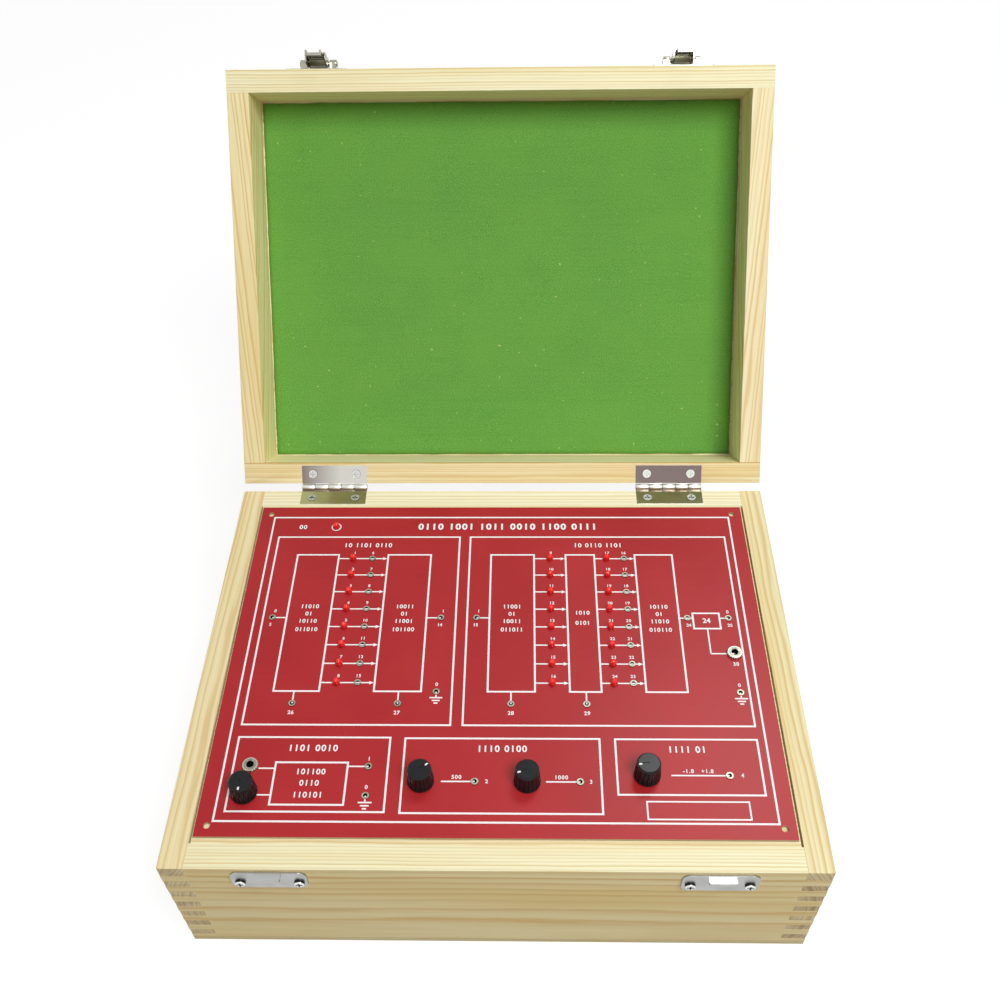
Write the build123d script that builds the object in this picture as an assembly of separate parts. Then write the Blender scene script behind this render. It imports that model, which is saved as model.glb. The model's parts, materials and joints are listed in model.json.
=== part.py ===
from build123d import *
import os
from math import atan2, degrees, radians, sin

# A pulse code modulation trainer: a printed panel in a finger-jointed pine case with a felt-lined lid.
# Millimetres. +Z is up, the front faces -Y, and the origin is the centre of the base's underside.
# The lid stands open, so its pieces are built closed and turned about the hinge pins at the end.

# Case
board = 12.0
ply = 4.0
base_height = 80.0
lid_board_height = 32.0
rim_gap = 1.2
panel_side_gap = 1.85
panel_back_gap = 2.4
panel_front_gap = 2.5
lid_open_angle = 126.6

# Finger joints at the corners of both frames
finger_height = 5.45
base_top_finger = 8.0
lid_rim_finger = 6.0

# Panel and the strips that carry it, level with the base's rim
panel_thickness = 1.6
batten_width = 10.0
batten_height = 12.0
batten_groove_width = 1.0
batten_groove_depth = 6.0
panel_hole_radius = 1.6
panel_hole_inset = 5.4

# Columns of the panel, each measured from the one to its left
input_socket_margin = 17.2
input_to_encoder_lamps = 38.45
lamp_to_probe = 10.65
probe_to_code_output = 39.7
code_output_to_code_input = 18.7
code_input_to_latch_lamps = 38.95
latch_lamps_to_output_lamps = 30.8
output_lamps_to_probe = 9.65
probe_to_converter_output = 30.6
converter_to_filter_output = 21.25
output_socket_margin = 16.35

# Rows of the panel, each measured from the one in front of it
knob_row_margin = 21.7
knob_row_to_output_row = 6.35
output_row_to_dc_row = 3.6
dc_row_to_mic_row = 3.95
mic_row_to_clock_row = 34.5
clock_row_to_ground_row = 6.95
ground_row_to_code_rows = 5.25
code_row_pitch = 11.52
code_rows = 8
code_rows_to_power_lamp = 23.1
power_lamp_margin = 15.06

# Places that hang from a column or a row
power_lamp_from_encoder_lamps = -11.9
start_socket_from_input = 17.9
shift_clock_from_encoder_lamps = 31.6
second_shift_clock_from_code_input = 18.4
latch_clock_from_latch_lamps = 16.7
filter_ground_from_output = 0.4
mic_jack_from_input = 3.2
mic_knob_from_input = 2.6
mic_output_from_probe = 9.95
mic_ground_row_step = 1.2
low_tone_knob_from_code_output = -4.5
low_tone_socket_from_knob = 25.05
high_tone_knob_from_socket = 24.55
high_tone_socket_from_knob = 24.65
dc_knob_from_probe = 2.9
dc_socket_from_knob = 38.35
speaker_jack_from_ground = 23.25

# Lamps and test sockets
lamp_radius = 1.5
lamp_flange_radius = 1.9
lamp_flange_height = 1.0
lamp_reach = 3.6
lead_length = 2.5
lead_radius = 0.25
lead_spacing = 2.54
socket_collar_radius = 1.75
socket_collar_height = 0.5
socket_barrel_radius = 1.35
socket_bore_radius = 1.0
socket_depth = 7.0
socket_floor = 1.0
hole_clearance = 0.05

# Audio jacks
jack_bore_radius = 1.8
jack_bush_radius = 2.9
jack_nut_radius = 3.9
jack_nut_height = 1.8
jack_body_side = 11.0
jack_body_height = 10.0
jack_floor = 1.0
jack_nut_chamfer = 0.36
jack_notches = 20
jack_notch_radius = 0.35

# Knobs and their potentiometers
knob_base_radius = 6.3
knob_top_radius = 5.5
knob_height = 11.0
knob_gap = 0.8
knob_flutes = 18
knob_flute_radius = 0.85
knob_flute_depth = 0.55
knob_skirt = 0.8
knob_crown_band = 1.3
knob_crown_chamfer = 0.7
knob_recess_radius = 4.6
knob_recess_depth = 2.0
pointer_width = 1.0
pointer_depth = 0.35
shaft_radius = 3.0
shaft_in_knob = 8.0
knob_fit = 0.02
shaft_in_pot = 4.0
shaft_clearance = 0.05
pot_side = 12.0
pot_height = 7.0
pot_collar_radius = 4.2
mic_pointer_angle = 270.0
low_tone_pointer_angle = 37.0
high_tone_pointer_angle = 200.0
dc_pointer_angle = 189.0

# Hinges
hinge_length = 38.0
hinge_centre = 97.2
hinge_leaf_width = 10.5
hinge_leaf_thickness = 1.0
hinge_leaf_proud = 0.25
hinge_pin_offset = 2.35
hinge_pin_radius = 1.0
hinge_knuckle_radius = 2.0
hinge_knuckles = 5
hinge_knuckle_play = 0.15
hinge_screw_spacing = 25.2
hinge_screw_inset = 5.6
hinge_screw_dome = 0.22

# Strikes and latches
latch_centre = 100.7
strike_width = 34.4
strike_height = 14.4
strike_drop = 2.0
strike_thickness = 1.0
strike_corner_radius = 3.7
strike_tab_width = 12.4
strike_tab_reach = 5.0
strike_lip_rise = 1.4
lip_rounding = 0.9
strike_screw_spacing = 26.6
strike_screw_drop = 9.0
strike_slot_length = 5.6
latch_plate_width = 36.4
latch_plate_height = 15.0
latch_plate_lift = 3.0
latch_plate_thickness = 0.8
latch_corner_radius = 3.0
latch_screw_spacing = 26.6
latch_ear_inside = 6.3
latch_ear_width = 3.7
latch_pivot_lift = 13.0
latch_pivot_reach = 5.0
latch_pivot_radius = 0.9
latch_shoulder_radius = 1.4
latch_wall_radius = 2.2
latch_rivet_radius = 1.4
latch_rivet_height = 0.4
flap_outer_half_width = 5.7
flap_thickness = 0.8
flap_foot_lift = 1.5
flap_wall_depth = 5.0
flap_top_rise = 2.5
link_pivot_rise = 2.6
link_pivot_drop = 0.6
link_pivot_radius = 0.55
link_barrel_radius = 1.1
link_half_width = 4.4
link_thickness = 0.8
link_pin_gap = 0.4
link_jog_drop = 3.1
link_bend = 0.3
link_arm_width = 1.0
link_bar_depth = 0.9
link_window_gap = 1.2
link_hook_gap = 0.4
link_hook_inner_reach = 3.0
link_tab_gap = 0.3
latch_rest_angle = 9.0

# Screws
screw_head_radius = 2.4
screw_head_height = 1.4
screw_shank_radius = 1.2
screw_shank_length = 8.0
screw_recess_length = 3.1
screw_recess_width = 0.7
screw_recess_depth = 0.8
short_screw_length = 3.0
screw_clearance = 0.1

# Felt
felt_thickness = 1.8
felt_margin = 0.5

# Power entry on the back board
entry_height = 20.0
inlet_from_centre = 92.0
inlet_flange_width = 48.0
inlet_flange_height = 24.0
inlet_flange_thickness = 2.4
inlet_corner_radius = 4.8
inlet_body_width = 27.0
inlet_body_height = 19.5
inlet_body_depth = 17.0
inlet_cavity_width = 22.4
inlet_cavity_height = 15.2
inlet_cavity_depth = 15.0
inlet_cavity_key = 3.8
inlet_pin_width = 2.0
inlet_pin_height = 4.0
inlet_pin_reach = 9.0
inlet_pin_spacing = 7.0
inlet_earth_lift = 2.2
inlet_tab_length = 7.0
inlet_screw_spacing = 40.0
switch_from_centre = 50.0
switch_bezel_width = 21.0
switch_bezel_height = 15.0
switch_bezel_thickness = 2.0
switch_body_width = 18.6
switch_body_height = 12.6
switch_body_depth = 15.0
switch_room_depth = 9.5
switch_wall = 1.4
rocker_clearance = 0.3
rocker_end_play = 0.35
rocker_tilt = 9.0
rocker_pivot_depth = 3.0
rocker_pivot_radius = 1.5
rocker_reach = 3.2
entry_clearance = 0.15

# Power supply on the bottom panel
supply_width = 118.0
supply_depth = 72.0
supply_centre_x = 52.0
supply_centre_y = -18.0
supply_thickness = 1.6
standoff_height = 8.0
standoff_radius = 3.0
standoff_inset = 5.0
transformer_centre_x = -68.0
transformer_centre_y = 34.0
core_width = 48.0
core_depth = 22.0
core_height = 40.0
core_limb = 8.0
coil_clearance = 0.3
coil_depth = 36.0
coil_corner_radius = 2.0
strap_thickness = 1.2
strap_width = 18.0
strap_ear = 11.0
strap_clearance = 0.1
bridge_side = 15.0
bridge_thickness = 6.5
bridge_leg_length = 2.0
bridge_leg_radius = 0.4
bridge_leg_inset = 2.0
bridge_board_inset = 12.0
bridge_shift = 4.0
regulators = 3
regulator_leg_length = 3.0
regulator_pitch = 26.0
regulator_width = 10.0
regulator_thickness = 4.4
regulator_height = 15.0
heatsink_width = 20.0
heatsink_height = 24.0
heatsink_back = 1.6
heatsink_fin = 7.0
heatsink_fins = 4
heatsink_board_inset = 1.0
filter_cans = 4
filter_can_radius = 6.5
filter_can_height = 22.0
filter_can_edge_radius = 0.8
filter_can_pitch = 22.0
filter_can_board_inset = 12.0

# Parts soldered under the panel
chip_body_width = 6.6
chip_body_height = 3.4
chip_lead_pitch = 2.54
chip_row_spacing = 7.62
chip_lead_width = 0.5
chip_lead_thickness = 0.3
chip_standoff = 0.6
wide_chip_body_width = 13.8
wide_chip_row_spacing = 15.24
small_can_radius = 2.6
small_can_height = 8.0
small_can_edge_radius = 0.5
small_can_gap = 2.0
resistor_radius = 1.15
resistor_length = 6.4
resistor_lead_radius = 0.3
resistor_lead_drop = 2.6
resistor_lead_reach = 1.0
resistor_offset = 4.4
header_width = 26.0
header_depth = 6.0
header_height = 8.0
header_board_inset = 14.0
ribbon_width = 20.0
ribbon_thickness = 1.2
ribbon_bow = 7.0

# Insulated wires
wire_radius = 1.0
wire_bend = 4.0
wire_run = 12.0
wire_spread = 4.0
wire_lift = 8.0
wire_board_inset = 4.0

# How far a cut reaches past what it cuts
cut_past = 1.0

# Derived case sizes
code_section_width = (
    input_to_encoder_lamps
    + lamp_to_probe
    + probe_to_code_output
    + code_output_to_code_input
    + code_input_to_latch_lamps
    + latch_lamps_to_output_lamps
    + output_lamps_to_probe
    + probe_to_converter_output
    + converter_to_filter_output
)
panel_width = input_socket_margin + code_section_width + output_socket_margin
dc_row = knob_row_margin + knob_row_to_output_row + output_row_to_dc_row
mic_row = dc_row + dc_row_to_mic_row
clock_row = mic_row + mic_row_to_clock_row
ground_row = clock_row + clock_row_to_ground_row
first_code_row = ground_row + ground_row_to_code_rows
last_code_row = first_code_row + (code_rows - 1) * code_row_pitch
power_lamp_row = last_code_row + code_rows_to_power_lamp
panel_depth = power_lamp_row + power_lamp_margin
inner_width = panel_width + 2 * panel_side_gap
inner_depth = panel_front_gap + panel_depth + panel_back_gap
case_width = inner_width + 2 * board
case_depth = inner_depth + 2 * board
panel_front = -inner_depth / 2 + panel_front_gap
panel_left = -panel_width / 2
panel_under = base_height
panel_top = panel_under + panel_thickness
lid_rim = base_height + rim_gap
lid_top = lid_rim + lid_board_height
hinge_pin_y = case_depth / 2 + hinge_pin_offset
hinge_pin_z = base_height + rim_gap / 2
front_face = -case_depth / 2
back_face = case_depth / 2

# Columns and rows as places in the case
input_x = panel_left + input_socket_margin
encoder_lamps_x = input_x + input_to_encoder_lamps
encoder_probe_x = encoder_lamps_x + lamp_to_probe
code_output_x = encoder_probe_x + probe_to_code_output
code_input_x = code_output_x + code_output_to_code_input
latch_lamps_x = code_input_x + code_input_to_latch_lamps
output_lamps_x = latch_lamps_x + latch_lamps_to_output_lamps
output_probe_x = output_lamps_x + output_lamps_to_probe
converter_output_x = output_probe_x + probe_to_converter_output
filter_output_x = converter_output_x + converter_to_filter_output
mic_knob_y = panel_front + knob_row_margin
tone_y = mic_knob_y + knob_row_to_output_row
dc_y = tone_y + output_row_to_dc_row
mic_y = panel_front + mic_row
clock_y = panel_front + clock_row
ground_y = panel_front + ground_row
signal_y = panel_front + (first_code_row + last_code_row) / 2
power_lamp_y = panel_front + power_lamp_row
speaker_jack_y = ground_y + speaker_jack_from_ground
low_tone_knob_x = code_output_x + low_tone_knob_from_code_output
low_tone_socket_x = low_tone_knob_x + low_tone_socket_from_knob
high_tone_knob_x = low_tone_socket_x + high_tone_knob_from_socket
high_tone_socket_x = high_tone_knob_x + high_tone_socket_from_knob
dc_knob_x = output_probe_x + dc_knob_from_probe
dc_socket_x = dc_knob_x + dc_socket_from_knob
mic_output_x = encoder_probe_x + mic_output_from_probe
code_row_places = [panel_front + first_code_row + row * code_row_pitch for row in range(code_rows)]

lamp_places = [
    (x, y) for x in (encoder_lamps_x, latch_lamps_x, output_lamps_x) for y in code_row_places
]
power_lamp_place = (encoder_lamps_x + power_lamp_from_encoder_lamps, power_lamp_y)
probe_places = [(x, y) for x in (encoder_probe_x, output_probe_x) for y in code_row_places]
signal_places = [
    (input_x, signal_y),
    (code_output_x, signal_y),
    (code_input_x, signal_y),
    (converter_output_x, signal_y),
    (filter_output_x, signal_y),
    (input_x + start_socket_from_input, clock_y),
    (encoder_lamps_x + shift_clock_from_encoder_lamps, clock_y),
    (code_input_x + second_shift_clock_from_code_input, clock_y),
    (latch_lamps_x + latch_clock_from_latch_lamps, clock_y),
    (code_output_x, ground_y),
    (filter_output_x + filter_ground_from_output, ground_y),
    (mic_output_x, mic_y),
    (mic_output_x, mic_knob_y - mic_ground_row_step),
    (low_tone_socket_x, tone_y),
    (high_tone_socket_x, tone_y),
    (dc_socket_x, dc_y),
]
socket_places = probe_places + signal_places
jack_places = [
    (input_x + mic_jack_from_input, mic_y),
    (filter_output_x + filter_ground_from_output, speaker_jack_y),
]
knob_places = {
    "mic_gain": (input_x + mic_knob_from_input, mic_knob_y, mic_pointer_angle),
    "low_tone": (low_tone_knob_x, tone_y, low_tone_pointer_angle),
    "high_tone": (high_tone_knob_x, tone_y, high_tone_pointer_angle),
    "dc_level": (dc_knob_x, dc_y, dc_pointer_angle),
}


def block(x0, x1, y0, y1, z0, z1):
    """A box between two corners."""
    return Pos((x0 + x1) / 2, (y0 + y1) / 2, (z0 + z1) / 2) * Box(x1 - x0, y1 - y0, z1 - z0)


def rod(radius, length):
    """A cylinder standing on the origin."""
    return Pos(0, 0, length / 2) * Cylinder(radius, length)


def side_profile(points, half_width):
    """An outline in the Y-Z plane, carried to both sides of X = 0."""
    outline = make_face(Polyline(*[(0, y, z) for y, z in points], close=True))
    return extrude(outline, amount=half_width, dir=(1, 0, 0), both=True)


def cross_bar(radius, half_length):
    """A cylinder along X, centred on the origin."""
    return Rot(0, 90, 0) * Cylinder(radius, 2 * half_length)


def group(solids):
    """Several separate solids in one node."""
    return Compound(children=list(solids))


# Screws: a raised head with a cross recess, its seat at Z = 0 and its shank below
def screw(length, dome):
    head = rod(screw_head_radius, dome)
    cone = Pos(0, 0, -screw_head_height / 2) * Cone(
        screw_shank_radius, screw_head_radius, screw_head_height
    )
    shank = Pos(0, 0, -length) * rod(screw_shank_radius, length)
    body = head + cone + shank
    for turn in (0, 90):
        bar = Box(screw_recess_length, screw_recess_width, 2 * screw_recess_depth)
        body -= Pos(0, 0, dome) * Rot(0, 0, turn) * bar
    return body


def screw_pocket(length):
    """The room that a screw takes in the wood and the sheet under its head."""
    cone = Pos(0, 0, -screw_head_height / 2) * Cone(
        screw_shank_radius + screw_clearance,
        screw_head_radius + screw_clearance,
        screw_head_height,
    )
    shank = Pos(0, 0, -length - screw_clearance) * rod(
        screw_shank_radius + screw_clearance, length + screw_clearance
    )
    return cone + shank


def pan_screw(length):
    """A screw with a flat-based head that sits on its surface."""
    head = rod(screw_head_radius, screw_head_height)
    head = fillet(head.edges().group_by(Axis.Z)[-1], screw_head_height / 2)
    body = head + Pos(0, 0, -length) * rod(screw_shank_radius, length)
    for turn in (0, 90):
        bar = Box(screw_recess_length, screw_recess_width, 2 * screw_recess_depth)
        body -= Pos(0, 0, screw_head_height) * Rot(0, 0, turn) * bar
    return body


def pan_pocket(length):
    """The hole that a flat-based screw's shank takes."""
    depth = length + screw_clearance
    return Pos(0, 0, -depth) * rod(screw_shank_radius + screw_clearance, depth)


# Places of the fittings' screws, all facing up, out of the front, or out of the lid
hinge_screw_xs = [
    side * hinge_centre + end * hinge_screw_spacing / 2 for side in (-1, 1) for end in (-1, 1)
]
hinge_screw_y = back_face - hinge_screw_inset
strike_screw_xs = [
    side * latch_centre + end * strike_screw_spacing / 2 for side in (-1, 1) for end in (-1, 1)
]
strike_screw_z = base_height - strike_drop - strike_screw_drop
latch_screw_xs = [
    side * latch_centre + end * latch_screw_spacing / 2 for side in (-1, 1) for end in (-1, 1)
]
latch_screw_z = lid_rim + latch_plate_lift + latch_plate_height / 2
base_leaf_top = base_height + hinge_leaf_proud
lid_leaf_under = lid_rim - hinge_leaf_proud
base_hinge_screw_places = [Pos(x, hinge_screw_y, base_leaf_top) for x in hinge_screw_xs]
lid_hinge_screw_places = [
    Pos(x, hinge_screw_y, lid_leaf_under) * Rot(180, 0, 0) for x in hinge_screw_xs
]
strike_screw_places = [
    Pos(x, front_face - strike_thickness, strike_screw_z) * Rot(90, 0, 0) for x in strike_screw_xs
]
latch_screw_places = [
    Pos(x, front_face - latch_plate_thickness, latch_screw_z) * Rot(90, 0, 0)
    for x in latch_screw_xs
]


# Case frames: the boards lock at the corners with square fingers
def finger_bands(low, high, first, from_top):
    """The height bands of the fingers that reach the corner's outer face, starting at the rim."""
    bands = [(0.0, first)]
    start = first + finger_height
    while start + finger_height < high - low:
        bands.append((start, start + finger_height))
        start += 2 * finger_height
    if from_top:
        return [(high - far, high - near) for near, far in bands]
    return [(low + near, low + far) for near, far in bands]


def corner_blocks(bands):
    """The blocks that the given bands fill at all four corners of the frame."""
    blocks = []
    for side in (-1, 1):
        for end in (-1, 1):
            x0, x1 = sorted((side * case_width / 2, side * inner_width / 2))
            y0, y1 = sorted((end * case_depth / 2, end * inner_depth / 2))
            blocks += [block(x0, x1, y0, y1, low, high) for low, high in bands]
    return blocks


def frame_boards(low, high, side_bands):
    """The front, back and two side boards of a frame whose side boards fill the given bands."""
    corners = Compound(children=corner_blocks(side_bands))
    half_w = case_width / 2
    half_d = case_depth / 2
    front = block(-half_w, half_w, -half_d, -inner_depth / 2, low, high) - corners
    back = block(-half_w, half_w, inner_depth / 2, half_d, low, high) - corners
    sides = []
    for side in (-1, 1):
        x0, x1 = sorted((side * half_w, side * inner_width / 2))
        middle = block(x0, x1, -inner_depth / 2, inner_depth / 2, low, high)
        tips = [tip for tip in corner_blocks(side_bands) if side * tip.center().X > 0]
        sides.append(middle.fuse(*tips))
    return front, back, sides


base_side_bands = finger_bands(ply, base_height, base_top_finger, True)
base_front, base_back, base_sides = frame_boards(ply, base_height, base_side_bands)
lid_front_bands = finger_bands(lid_rim, lid_top, lid_rim_finger, False)
lid_edges = [lid_rim] + [edge for band in lid_front_bands for edge in band][1:] + [lid_top]
lid_side_bands = [
    (low, high) for low, high in zip(lid_edges[1::2], lid_edges[2::2]) if high > low
]
lid_front, lid_back, lid_sides = frame_boards(lid_rim, lid_top, lid_side_bands)
base_bottom = block(-case_width / 2, case_width / 2, front_face, back_face, 0, ply)
lid_panel = block(
    -case_width / 2, case_width / 2, front_face, back_face, lid_top, lid_top + ply
)
felt = block(
    -inner_width / 2 + felt_margin,
    inner_width / 2 - felt_margin,
    -inner_depth / 2 + felt_margin,
    inner_depth / 2 - felt_margin,
    lid_top - felt_thickness,
    lid_top,
)


def leaf_seat(x, low, high):
    """The shallow mortise for one hinge leaf."""
    return block(
        x - hinge_length / 2,
        x + hinge_length / 2,
        back_face - hinge_leaf_width,
        back_face,
        low,
        high,
    )


seat_depth = hinge_leaf_thickness - hinge_leaf_proud
for x in (-hinge_centre, hinge_centre):
    base_back -= leaf_seat(x, base_height - seat_depth, base_height)
    lid_back -= leaf_seat(x, lid_rim, lid_rim + seat_depth)
for place in base_hinge_screw_places:
    base_back -= place * screw_pocket(screw_shank_length)
for place in lid_hinge_screw_places:
    lid_back -= place * screw_pocket(screw_shank_length)
for place in strike_screw_places:
    base_front -= place * pan_pocket(screw_shank_length)
for place in latch_screw_places:
    lid_front -= place * pan_pocket(screw_shank_length)


# Battens under the panel's edges, level with the rim; a groove shows along the side boards
def battens():
    high = panel_under
    low = high - batten_height
    half_w = inner_width / 2
    half_d = inner_depth / 2
    strips = [
        block(-half_w, half_w, -half_d, -half_d + batten_width, low, high),
        block(-half_w, half_w, half_d - batten_width, half_d, low, high),
    ]
    grooves = []
    for side in (-1, 1):
        x0, x1 = sorted((side * half_w, side * (half_w - batten_width)))
        strips.append(block(x0, x1, -half_d + batten_width, half_d - batten_width, low, high))
        x0, x1 = sorted((side * half_w, side * (half_w - batten_groove_width)))
        grooves.append(block(x0, x1, -half_d, half_d, high - batten_groove_depth, high))
    return [strip - grooves for strip in strips]


# The printed panel, drilled for everything that stands in it
def panel():
    sheet = block(
        panel_left,
        -panel_left,
        panel_front,
        panel_front + panel_depth,
        panel_under,
        panel_top,
    )
    inset_x = panel_width / 2 - panel_hole_inset
    corner_ys = (panel_front + panel_hole_inset, panel_front + panel_depth - panel_hole_inset)
    holes = [(x, y, panel_hole_radius) for x in (-inset_x, inset_x) for y in corner_ys]
    lamps = lamp_places + [power_lamp_place]
    holes += [(x, y, lamp_radius + hole_clearance) for x, y in lamps]
    holes += [(x, y, socket_barrel_radius + hole_clearance) for x, y in socket_places]
    holes += [(x, y, jack_bush_radius + hole_clearance) for x, y in jack_places]
    holes += [(x, y, pot_collar_radius + hole_clearance) for x, y, _ in knob_places.values()]
    drills = [
        Pos(x, y, panel_under - panel_thickness) * rod(radius, 3 * panel_thickness)
        for x, y, radius in holes
    ]
    return sheet.cut(*drills)


def lamp():
    """A round lamp whose flange rests on the panel, with its leads through the panel's hole."""
    straight = lamp_reach - lamp_radius
    body = rod(lamp_radius, straight) + Pos(0, 0, straight) * Sphere(lamp_radius)
    body += rod(lamp_flange_radius, lamp_flange_height)
    for side in (-1, 1):
        lead = rod(lead_radius, panel_thickness + lead_length)
        body += Pos(side * lead_spacing / 2, 0, -panel_thickness - lead_length) * lead
    return Pos(0, 0, panel_top) * body


def test_socket():
    """A turned socket: a collar on the panel, a barrel through it and a blind bore."""
    body = rod(socket_collar_radius, socket_collar_height)
    body += Pos(0, 0, -socket_depth) * rod(socket_barrel_radius, socket_depth)
    bore_length = socket_depth - socket_floor + socket_collar_height
    body -= Pos(0, 0, socket_floor - socket_depth) * rod(socket_bore_radius, bore_length)
    return Pos(0, 0, panel_top) * body


def jack():
    """An audio jack: a square body under the panel and a round bush through it."""
    body = block(
        -jack_body_side / 2,
        jack_body_side / 2,
        -jack_body_side / 2,
        jack_body_side / 2,
        -jack_body_height,
        0,
    )
    bush_length = panel_thickness + jack_nut_height
    body += rod(jack_bush_radius, bush_length)
    bore_length = jack_body_height - jack_floor + bush_length
    body -= Pos(0, 0, jack_floor - jack_body_height) * rod(jack_bore_radius, bore_length)
    return Pos(0, 0, panel_under) * body


def jack_nut():
    """A round nut with a notched rim, standing on the panel round the bush."""
    nut = rod(jack_nut_radius, jack_nut_height)
    nut = chamfer(nut.edges().group_by(Axis.Z)[-1], jack_nut_chamfer)
    nut -= rod(jack_bush_radius + hole_clearance, jack_nut_height)
    notch = rod(jack_notch_radius, jack_nut_height)
    nut = nut.cut(
        *[
            Rot(0, 0, 360 * turn / jack_notches) * Pos(jack_nut_radius, 0, 0) * notch
            for turn in range(jack_notches)
        ]
    )
    return Pos(0, 0, panel_top) * nut


# Potentiometers under the panel, with the shafts and knobs that turn in them
def potentiometer():
    body = block(-pot_side / 2, pot_side / 2, -pot_side / 2, pot_side / 2, -pot_height, 0)
    body += rod(pot_collar_radius, panel_thickness)
    room = shaft_in_pot + panel_thickness + shaft_clearance
    body -= Pos(0, 0, panel_thickness - room) * rod(shaft_radius + shaft_clearance, room)
    return Pos(0, 0, panel_under) * body


def knob_shaft():
    length = shaft_in_pot + panel_thickness + knob_gap + shaft_in_knob
    return Pos(0, 0, panel_under - shaft_in_pot) * rod(shaft_radius, length)


def knob():
    """A tapered cap, fluted between its skirt and crown, with a pointer groove along +X."""
    body = Pos(0, 0, knob_height / 2) * Cone(knob_base_radius, knob_top_radius, knob_height)
    body = chamfer(body.edges().group_by(Axis.Z)[-1], knob_crown_chamfer)
    lean = degrees(atan2(knob_base_radius - knob_top_radius, knob_height))
    fluted_top = knob_height - knob_crown_band
    flute = Rot(0, -lean, 0) * Cylinder(knob_flute_radius, fluted_top - knob_skirt)
    middle = (knob_base_radius + knob_top_radius) / 2 + knob_flute_radius - knob_flute_depth
    body = body.cut(
        *[
            Rot(0, 0, 360 * (turn + 0.5) / knob_flutes)
            * Pos(middle, 0, (knob_skirt + fluted_top) / 2)
            * flute
            for turn in range(knob_flutes)
        ]
    )
    body -= rod(knob_recess_radius, knob_recess_depth)
    body -= rod(shaft_radius + knob_fit, shaft_in_knob)
    groove_length = knob_top_radius
    body -= Pos(groove_length / 2, 0, knob_height) * Box(
        groove_length, pointer_width, 2 * pointer_depth
    )
    return Pos(0, 0, panel_top + knob_gap) * body


# Hinges: two butt hinges whose knuckles lie behind the back face
def knuckle_spans(x, first):
    """The X ranges of every other knuckle of the hinge at x, from the first or the second on."""
    pitch = hinge_length / hinge_knuckles
    left = x - hinge_length / 2
    return [
        (left + n * pitch + hinge_knuckle_play, left + (n + 1) * pitch - hinge_knuckle_play)
        for n in range(first, hinge_knuckles, 2)
    ]


def hinge_leaf(x, first, low, high):
    """A leaf between two heights, with the knuckles that it is rolled into."""
    leaf = leaf_seat(x, low, high)
    for x0, x1 in knuckle_spans(x, first):
        middle = Pos((x0 + x1) / 2, hinge_pin_y, hinge_pin_z)
        roll = middle * cross_bar(hinge_knuckle_radius, (x1 - x0) / 2)
        tail = block(x0, x1, back_face - hinge_leaf_thickness, hinge_pin_y, low, high)
        leaf += roll + tail
    bore_radius = hinge_pin_radius + shaft_clearance
    bore = Pos(x, hinge_pin_y, hinge_pin_z) * cross_bar(bore_radius, hinge_length)
    return leaf - bore


def hinge_pin(x):
    body = cross_bar(hinge_pin_radius, hinge_length / 2)
    return Pos(x, hinge_pin_y, hinge_pin_z) * body


base_leaf_first = {-1: 1, 1: 0}
base_leaves = []
lid_leaves = []
for side in (-1, 1):
    x = side * hinge_centre
    first = base_leaf_first[side]
    base_leaf = hinge_leaf(x, first, base_leaf_top - hinge_leaf_thickness, base_leaf_top)
    lid_leaf = hinge_leaf(x, 1 - first, lid_leaf_under, lid_leaf_under + hinge_leaf_thickness)
    for place in base_hinge_screw_places:
        base_leaf -= place * screw_pocket(screw_shank_length)
    for place in lid_hinge_screw_places:
        lid_leaf -= place * screw_pocket(screw_shank_length)
    base_leaves.append(base_leaf)
    lid_leaves.append(lid_leaf)


# Strikes on the base's front face: a screwed plate whose tab stands out below the rim and turns up
def strike(x):
    top = base_height - strike_drop
    plate = block(
        x - strike_width / 2,
        x + strike_width / 2,
        front_face - strike_thickness,
        front_face,
        top - strike_height,
        top,
    )
    corners = plate.edges().filter_by(Axis.Y)
    plate = fillet(corners, strike_corner_radius)
    tab = block(
        x - strike_tab_width / 2,
        x + strike_tab_width / 2,
        front_face - strike_tab_reach,
        front_face,
        top - strike_thickness,
        top,
    )
    tab += block(
        x - strike_tab_width / 2,
        x + strike_tab_width / 2,
        front_face - strike_tab_reach,
        front_face - strike_tab_reach + strike_thickness,
        top - strike_thickness,
        top + strike_lip_rise,
    )
    tips = tab.edges().filter_by(Axis.Z).group_by(Axis.Y)[0]
    plate += fillet(tips, strike_thickness * lip_rounding)
    for end in (-1, 1):
        centre = Pos(x + end * strike_screw_spacing / 2, front_face - strike_thickness / 2, strike_screw_z)
        slot = SlotOverall(strike_slot_length, 2 * (screw_shank_radius + screw_clearance), rotation=90)
        plate -= centre * Rot(90, 0, 0) * extrude(slot, amount=strike_thickness, both=True)
    return plate


# Latches on the lid's front face, drawn closed: Y outwards is negative, Z is up from the lid's rim
pivot_y = front_face - latch_pivot_reach
pivot_z = lid_rim + latch_pivot_lift
link_y = pivot_y + link_pivot_drop
link_z = pivot_z + link_pivot_rise
flap_outer_y = pivot_y - latch_wall_radius
flap_inner_y = flap_outer_y + flap_thickness
ear_outside = latch_ear_inside + latch_ear_width


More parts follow.
